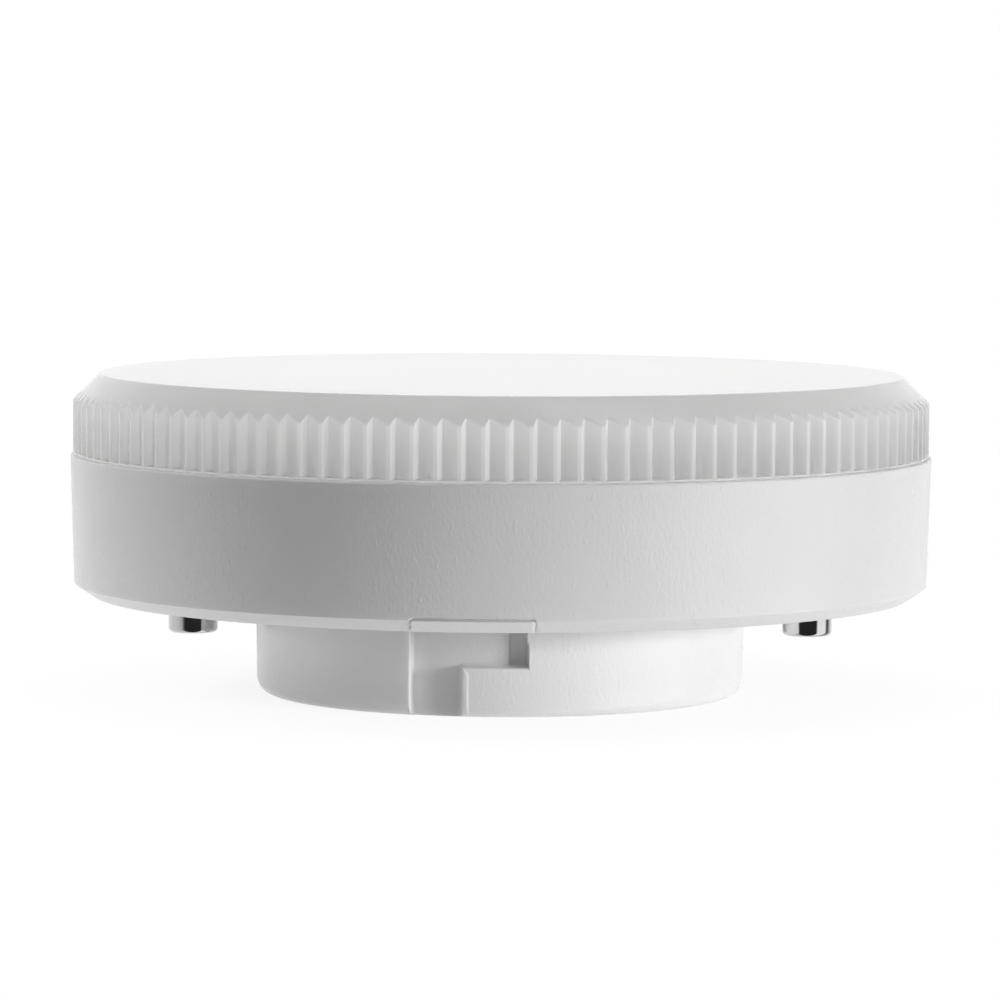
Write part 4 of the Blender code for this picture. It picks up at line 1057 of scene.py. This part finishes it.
def new_tree(name, **inputs):
    """The adder for a new geometry tree's nodes, and a wire for each of its inputs by name."""
    tree = bpy.data.node_groups.new(name, "GeometryNodeTree")
    tree.interface.new_socket("Geometry", in_out="INPUT", socket_type="NodeSocketGeometry")
    for socket, kind in inputs.items():
        tree.interface.new_socket(socket, in_out="INPUT", socket_type=f"NodeSocket{kind}")
    tree.interface.new_socket("Geometry", in_out="OUTPUT", socket_type="NodeSocketGeometry")
    nodes = Nodes(tree)
    group = tree.nodes.new("NodeGroupInput")
    return nodes, {socket.name: Wire(nodes, socket) for socket in group.outputs if socket.name}


def end_tree(nodes, geometry, material):
    """Paint what a tree makes, and hand it out."""
    painted = nodes.add("GeometryNodeSetMaterial", None, {"Geometry": geometry, "Material": material})
    result = nodes.tree.nodes.new("NodeGroupOutput")
    nodes.fill(result.inputs["Geometry"], painted)
    return nodes.tree


def grown(name, tree, inputs):
    """A plain mesh piece made by a node tree from named inputs, the piece's material among them."""
    piece = show(name, bpy.data.meshes.new(name))
    modifier = piece.modifiers.new(name, "NODES")
    modifier.node_group = tree
    for socket in tree.interface.items_tree:
        if socket.in_out == "INPUT" and socket.name in inputs:
            modifier[socket.identifier] = inputs[socket.name]
    work = bmesh.new()
    work.from_mesh(plain_copy(piece))
    piece.modifiers.clear()
    piece.data = clean_mesh(name, work, inputs["Material"])
    return piece


def around_tree():
    """Node tree that repeats an object round Z and joins the copies at their seams."""
    inputs = {"Sector": "Object", "Count": "Int", "Seam": "Float", "Material": "Material"}
    nodes, given = new_tree("repeat_round_the_axis", **inputs)
    sector = nodes.add("GeometryNodeObjectInfo", None, {"Object": given["Sector"]}, "Geometry")
    points = nodes.add("GeometryNodePoints", None, {"Count": given["Count"]})
    turn = nodes.add("GeometryNodeInputIndex") * (2 * math.pi) / given["Count"]
    rotation = nodes.add("ShaderNodeCombineXYZ", None, {"Z": turn})
    values = {"Points": points, "Instance": sector, "Rotation": rotation}
    copies = nodes.add("GeometryNodeInstanceOnPoints", None, values)
    real = nodes.add("GeometryNodeRealizeInstances", None, {"Geometry": copies})
    joined = nodes.add("GeometryNodeMergeByDistance", None, {"Geometry": real, "Distance": given["Seam"]})
    return end_tree(nodes, joined, given["Material"])


def coil_tree():
    """Node tree for a helix of wire that stands at a place."""
    inputs = {
        "Turns": "Float", "Coil Radius": "Float", "Coil Height": "Float", "Wire Radius": "Float",
        "Foot": "Vector", "Material": "Material",
    }
    nodes, given = new_tree("coil_of_wire", **inputs)
    values = {
        "Resolution": 28, "Rotations": given["Turns"], "Start Radius": given["Coil Radius"],
        "End Radius": given["Coil Radius"], "Height": given["Coil Height"],
    }
    path = nodes.add("GeometryNodeCurveSpiral", None, values)
    values = {"Resolution": 8, "Radius": given["Wire Radius"]}
    section = nodes.add("GeometryNodeCurvePrimitiveCircle", None, values)
    values = {"Curve": path, "Profile Curve": section, "Fill Caps": True}
    wire = nodes.add("GeometryNodeCurveToMesh", None, values)
    moved = nodes.add("GeometryNodeTransform", None, {"Geometry": wire, "Translation": given["Foot"]})
    real = nodes.add("GeometryNodeRealizeInstances", None, {"Geometry": moved})
    return end_tree(nodes, real, given["Material"])


def make_diffuser(material):
    """The sector repeated round the axis."""
    sector = diffuser_sector(material)
    inputs = {"Sector": sector, "Count": GROOVE_COUNT, "Seam": 0.003 * MM, "Material": material}
    piece = grown("diffuser_cap", around_tree(), inputs)
    bpy.data.objects.remove(sector)
    return piece


def make_winding(material):
    """Turns of enamelled wire between the choke's flanges."""
    height = winding_high.z - winding_low.z - 2 * WIRE_RADIUS
    middle = (winding_low + winding_high) / 2
    inputs = {
        "Turns": height / WIRE_PITCH, "Coil Radius": (winding_high.x - winding_low.x) / 2 - WIRE_RADIUS,
        "Coil Height": height, "Wire Radius": WIRE_RADIUS,
        "Foot": (middle.x, middle.y, winding_low.z + WIRE_RADIUS), "Material": material,
    }
    return grown("choke_winding", coil_tree(), inputs)


def pin_outline():
    """Outline of a pin from the face of its head to the riveted end inside."""
    face = PIN_HEAD_RADIUS - PIN_FACE_ROUND
    edge = PIN_HEAD_RADIUS - PIN_EDGE_ROUND
    neck = PIN_SHANK_RADIUS + PIN_EDGE_ROUND
    top = PIN_END + PIN_HEAD_HEIGHT
    dome = RIVET_BOTTOM + RIVET_EDGE
    outline = [(0.0, PIN_END), (PIN_FACE_RADIUS, PIN_END)]
    outline += arc(face, PIN_END + PIN_FACE_ROUND, PIN_FACE_ROUND, -90, 0, 8)
    outline += arc(edge, top - PIN_EDGE_ROUND, PIN_EDGE_ROUND, 0, 90, 4)
    outline += arc(neck, top + PIN_EDGE_ROUND, PIN_EDGE_ROUND, -90, -180, 4)
    outline += [(PIN_SHANK_RADIUS, NECK_HEIGHT), (PIN_SHANK_RADIUS, RIVET_BOTTOM)]
    outline.append((RIVET_RADIUS - RIVET_EDGE / 2, RIVET_BOTTOM))
    outline += arc(RIVET_RADIUS - RIVET_ROUND, dome, RIVET_ROUND, 0, 90, 6)
    return outline + [(0.0, dome + RIVET_ROUND)]


def make_pin(name, centre_x, material):
    work = bmesh.new()
    lathe(work, pin_outline(), 64, (centre_x, 0.0))
    return show(name, clean_mesh(name, work, material))


def dress_inner_nodes():
    """Give each CAD node that stays its own finish."""
    aluminium = metal_finish("pressed_aluminium", (0.78, 0.79, 0.80), 0.35, 1.5 * MM)
    brass = metal_finish("tinned_brass", (0.70, 0.66, 0.55), 0.35, 0.8 * MM)
    steel = metal_finish("screw_steel", (0.60, 0.60, 0.60), 0.3, 0.4 * MM)
    package = led_finish()
    white, pale = (0.86, 0.87, 0.87), (0.78, 0.79, 0.78)
    green, light_green = (0.03, 0.17, 0.07), (0.06, 0.29, 0.12)
    chip = moulded_finish("package_black", (0.03, 0.03, 0.03), 0.45)
    mains = moulded_finish("mains_sleeve", (0.75, 0.75, 0.72), 0.5)
    finishes = {
        "heat_spreader": aluminium,
        "solder_tag_left": brass,
        "solder_tag_right": brass,
        "led_board": board_finish("board_white", white, pale, 1.0 * MM, 9.0 * MM),
        "driver_board": board_finish("board_green", green, light_green, 0.5 * MM, 3.5 * MM),
        "bulk_capacitor": can_finish("can_black", "bulk_capacitor", (0.03, 0.03, 0.035)),
        "output_capacitor": can_finish("can_green", "output_capacitor", (0.03, 0.12, 0.07)),
        "film_capacitor": moulded_finish("film_yellow", (0.75, 0.55, 0.05), 0.4),
        "inductor_core": moulded_finish("ferrite", (0.07, 0.07, 0.07), 0.6),
        "fusible_resistor": resistor_finish(),
        "bridge_rectifier": chip,
        "driver_ic": chip,
        "output_diode": chip,
        "mains_lead_left": mains,
        "mains_lead_right": mains,
        "dc_lead_plus": moulded_finish("plus_sleeve", (0.60, 0.03, 0.02), 0.5),
        "dc_lead_minus": moulded_finish("minus_sleeve", (0.02, 0.02, 0.02), 0.5),
    }
    for name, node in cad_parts.items():
        if name in finishes:
            node.material_slots[0].material = finishes[name]
        elif name.startswith("led_"):
            node.material_slots[0].material = package
        elif name.startswith("board_screw"):
            node.material_slots[0].material = steel


# Stage

def mirrored_room(nodes, direction):
    """How bright a mirror finds the room in a direction: light behind the lamp, dark in front of it."""
    across = nodes.axis(direction, "X")
    ahead = -1.0 * nodes.axis(direction, "Y")
    return nodes.levels(ROOM_ROUND, nodes.maths("ARCTAN2", across, ahead) / math.tau + 0.5)


def floor_finish():
    """White with the lamp's soft shadow, the mirrored room in reflections, and clear from below."""
    constants = {"Base_Color": grey(FLOOR_WHITE), "Emission_Strength": TABLE_LIGHT}
    material, nodes, shader = finish("floor_white", Roughness=0.9, **constants)
    lit = nodes.levels(TABLE_FADE, nodes.length(nodes.place(TABLE_CENTRE)) / FLOOR_REACH)
    nodes.fill(shader.inputs["Emission Color"], lit)
    camera = nodes.ray("Camera")
    onward = nodes.stretch((-1.0, -1.0, -1.0), nodes.here("Incoming"))
    colour = nodes.mix(camera, mirrored_room(nodes, onward), grey(1.0))
    glow = nodes.add("ShaderNodeEmission", None, {"Color": colour, "Strength": 1.0})
    seen_white = camera * nodes.levels(FLOOR_FADE, nodes.length(nodes.place()) / FLOOR_REACH)
    whiten = nodes.maths("MAXIMUM", seen_white, nodes.ray("Glossy"))
    above = nodes.blend(whiten, Wire(nodes, shader.outputs[0]), glow)
    clear = nodes.add("ShaderNodeBsdfTransparent")
    put_out(nodes, nodes.blend(nodes.here("Backfacing"), above, clear))
    return material


def make_floor():
    work = bmesh.new()
    square = [(x * FLOOR_HALF_SIZE, y * FLOOR_HALF_SIZE) for x, y in ((-1, -1), (1, -1), (1, 1), (-1, 1))]
    work.faces.new([work.verts.new((x, y, FLOOR_TOP_FACE)) for x, y in square])
    mesh = mesh_of("floor", work)
    mesh.materials.append(floor_finish())
    return show("floor", mesh)


def make_world():
    """White to the camera, the mirrored room in reflections, and otherwise light from below alone."""
    world = bpy.data.worlds.new("studio")
    bpy.context.scene.world = world
    world.use_nodes = True
    nodes = Nodes(world.node_tree)
    direction = nodes.add("ShaderNodeTexCoord", output="Generated")
    light = nodes.mix(nodes.axis(direction, "Z") < 0.0, grey(0.0), grey(LIGHT_BELOW))
    level = nodes.mix(nodes.ray("Glossy"), light, mirrored_room(nodes, direction))
    seen = nodes.maths("MAXIMUM", nodes.ray("Camera"), nodes.ray("Transmission"))
    background = world.node_tree.nodes["Background"]
    nodes.fill(background.inputs["Color"], nodes.mix(seen, level, grey(1.0)))
    nodes.fill(background.inputs["Strength"], 1.0)


def softbox(name, azimuth, elevation, power, size=(0.2, 0.12)):
    """A rectangular light aimed at the lamp, its angles in degrees and azimuth 0 on the camera's side."""
    light = bpy.data.lights.new(name, "AREA")
    light.shape = "RECTANGLE"
    light.size, light.size_y = size
    light.energy = power
    holder = bpy.data.objects.new(name, light)
    around = math.radians(azimuth)
    up = math.radians(elevation)
    away = Vector((math.sin(around) * math.cos(up), -math.cos(around) * math.cos(up), math.sin(up)))
    aim = Vector((0.0, 0.0, LAMP_HEIGHT / 2))
    holder.location = aim + away * SOFTBOX_DISTANCE
    holder.rotation_mode = "QUATERNION"
    holder.rotation_quaternion = away.to_track_quat("Z", "Y")
    holder.visible_camera = False
    holder.visible_glossy = False
    bpy.context.collection.objects.link(holder)


def make_camera():
    """The photograph's view, solved from the lamp's pins, neck and rims."""
    camera = bpy.data.cameras.new("camera")
    camera.sensor_width = 36.0
    camera.lens = CAMERA_LENS
    holder = bpy.data.objects.new("camera", camera)
    yaw = Matrix.Rotation(math.radians(CAMERA_YAW), 4, "Z")
    pitch = Matrix.Rotation(math.radians(90 - CAMERA_DIP), 4, "X")
    roll = Matrix.Rotation(math.radians(CAMERA_ROLL), 4, "Z")
    holder.matrix_world = Matrix.Translation(CAMERA_PLACE) @ yaw @ pitch @ roll
    bpy.context.collection.objects.link(holder)
    bpy.context.scene.camera = holder


def build():
    bpy.context.scene.view_settings.view_transform = "Standard"
    housing = make_housing(housing_finish())
    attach(housing, "root")
    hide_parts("housing")
    diffuser = make_diffuser(diffuser_finish())
    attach(diffuser, "root")
    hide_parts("diffuser")
    nickel = nickel_finish()
    for name, side in (("left", -1), ("right", 1)):
        pin = make_pin(f"pin_{name}", side * PIN_CIRCLE, nickel)
        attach(pin, "root")
        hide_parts(f"contact_pin_{name}")
    winding = make_winding(metal_finish("copper_wire", (0.72, 0.30, 0.12), 0.3, 0.3 * MM))
    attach(winding, "root")
    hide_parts("inductor_winding")
    dress_inner_nodes()
    make_floor()
    make_world()
    softbox("softbox_front", azimuth=56, elevation=5, power=2.5)
    softbox("softbox_right", azimuth=66, elevation=5, power=1.05)
    softbox("softbox_left", azimuth=-107, elevation=5, power=1.0)
    softbox("softbox_left_high", azimuth=-105, elevation=35, power=1.45)
    softbox("softbox_top", azimuth=0, elevation=88, power=1.15, size=(0.35, 0.35))
    make_camera()


build()
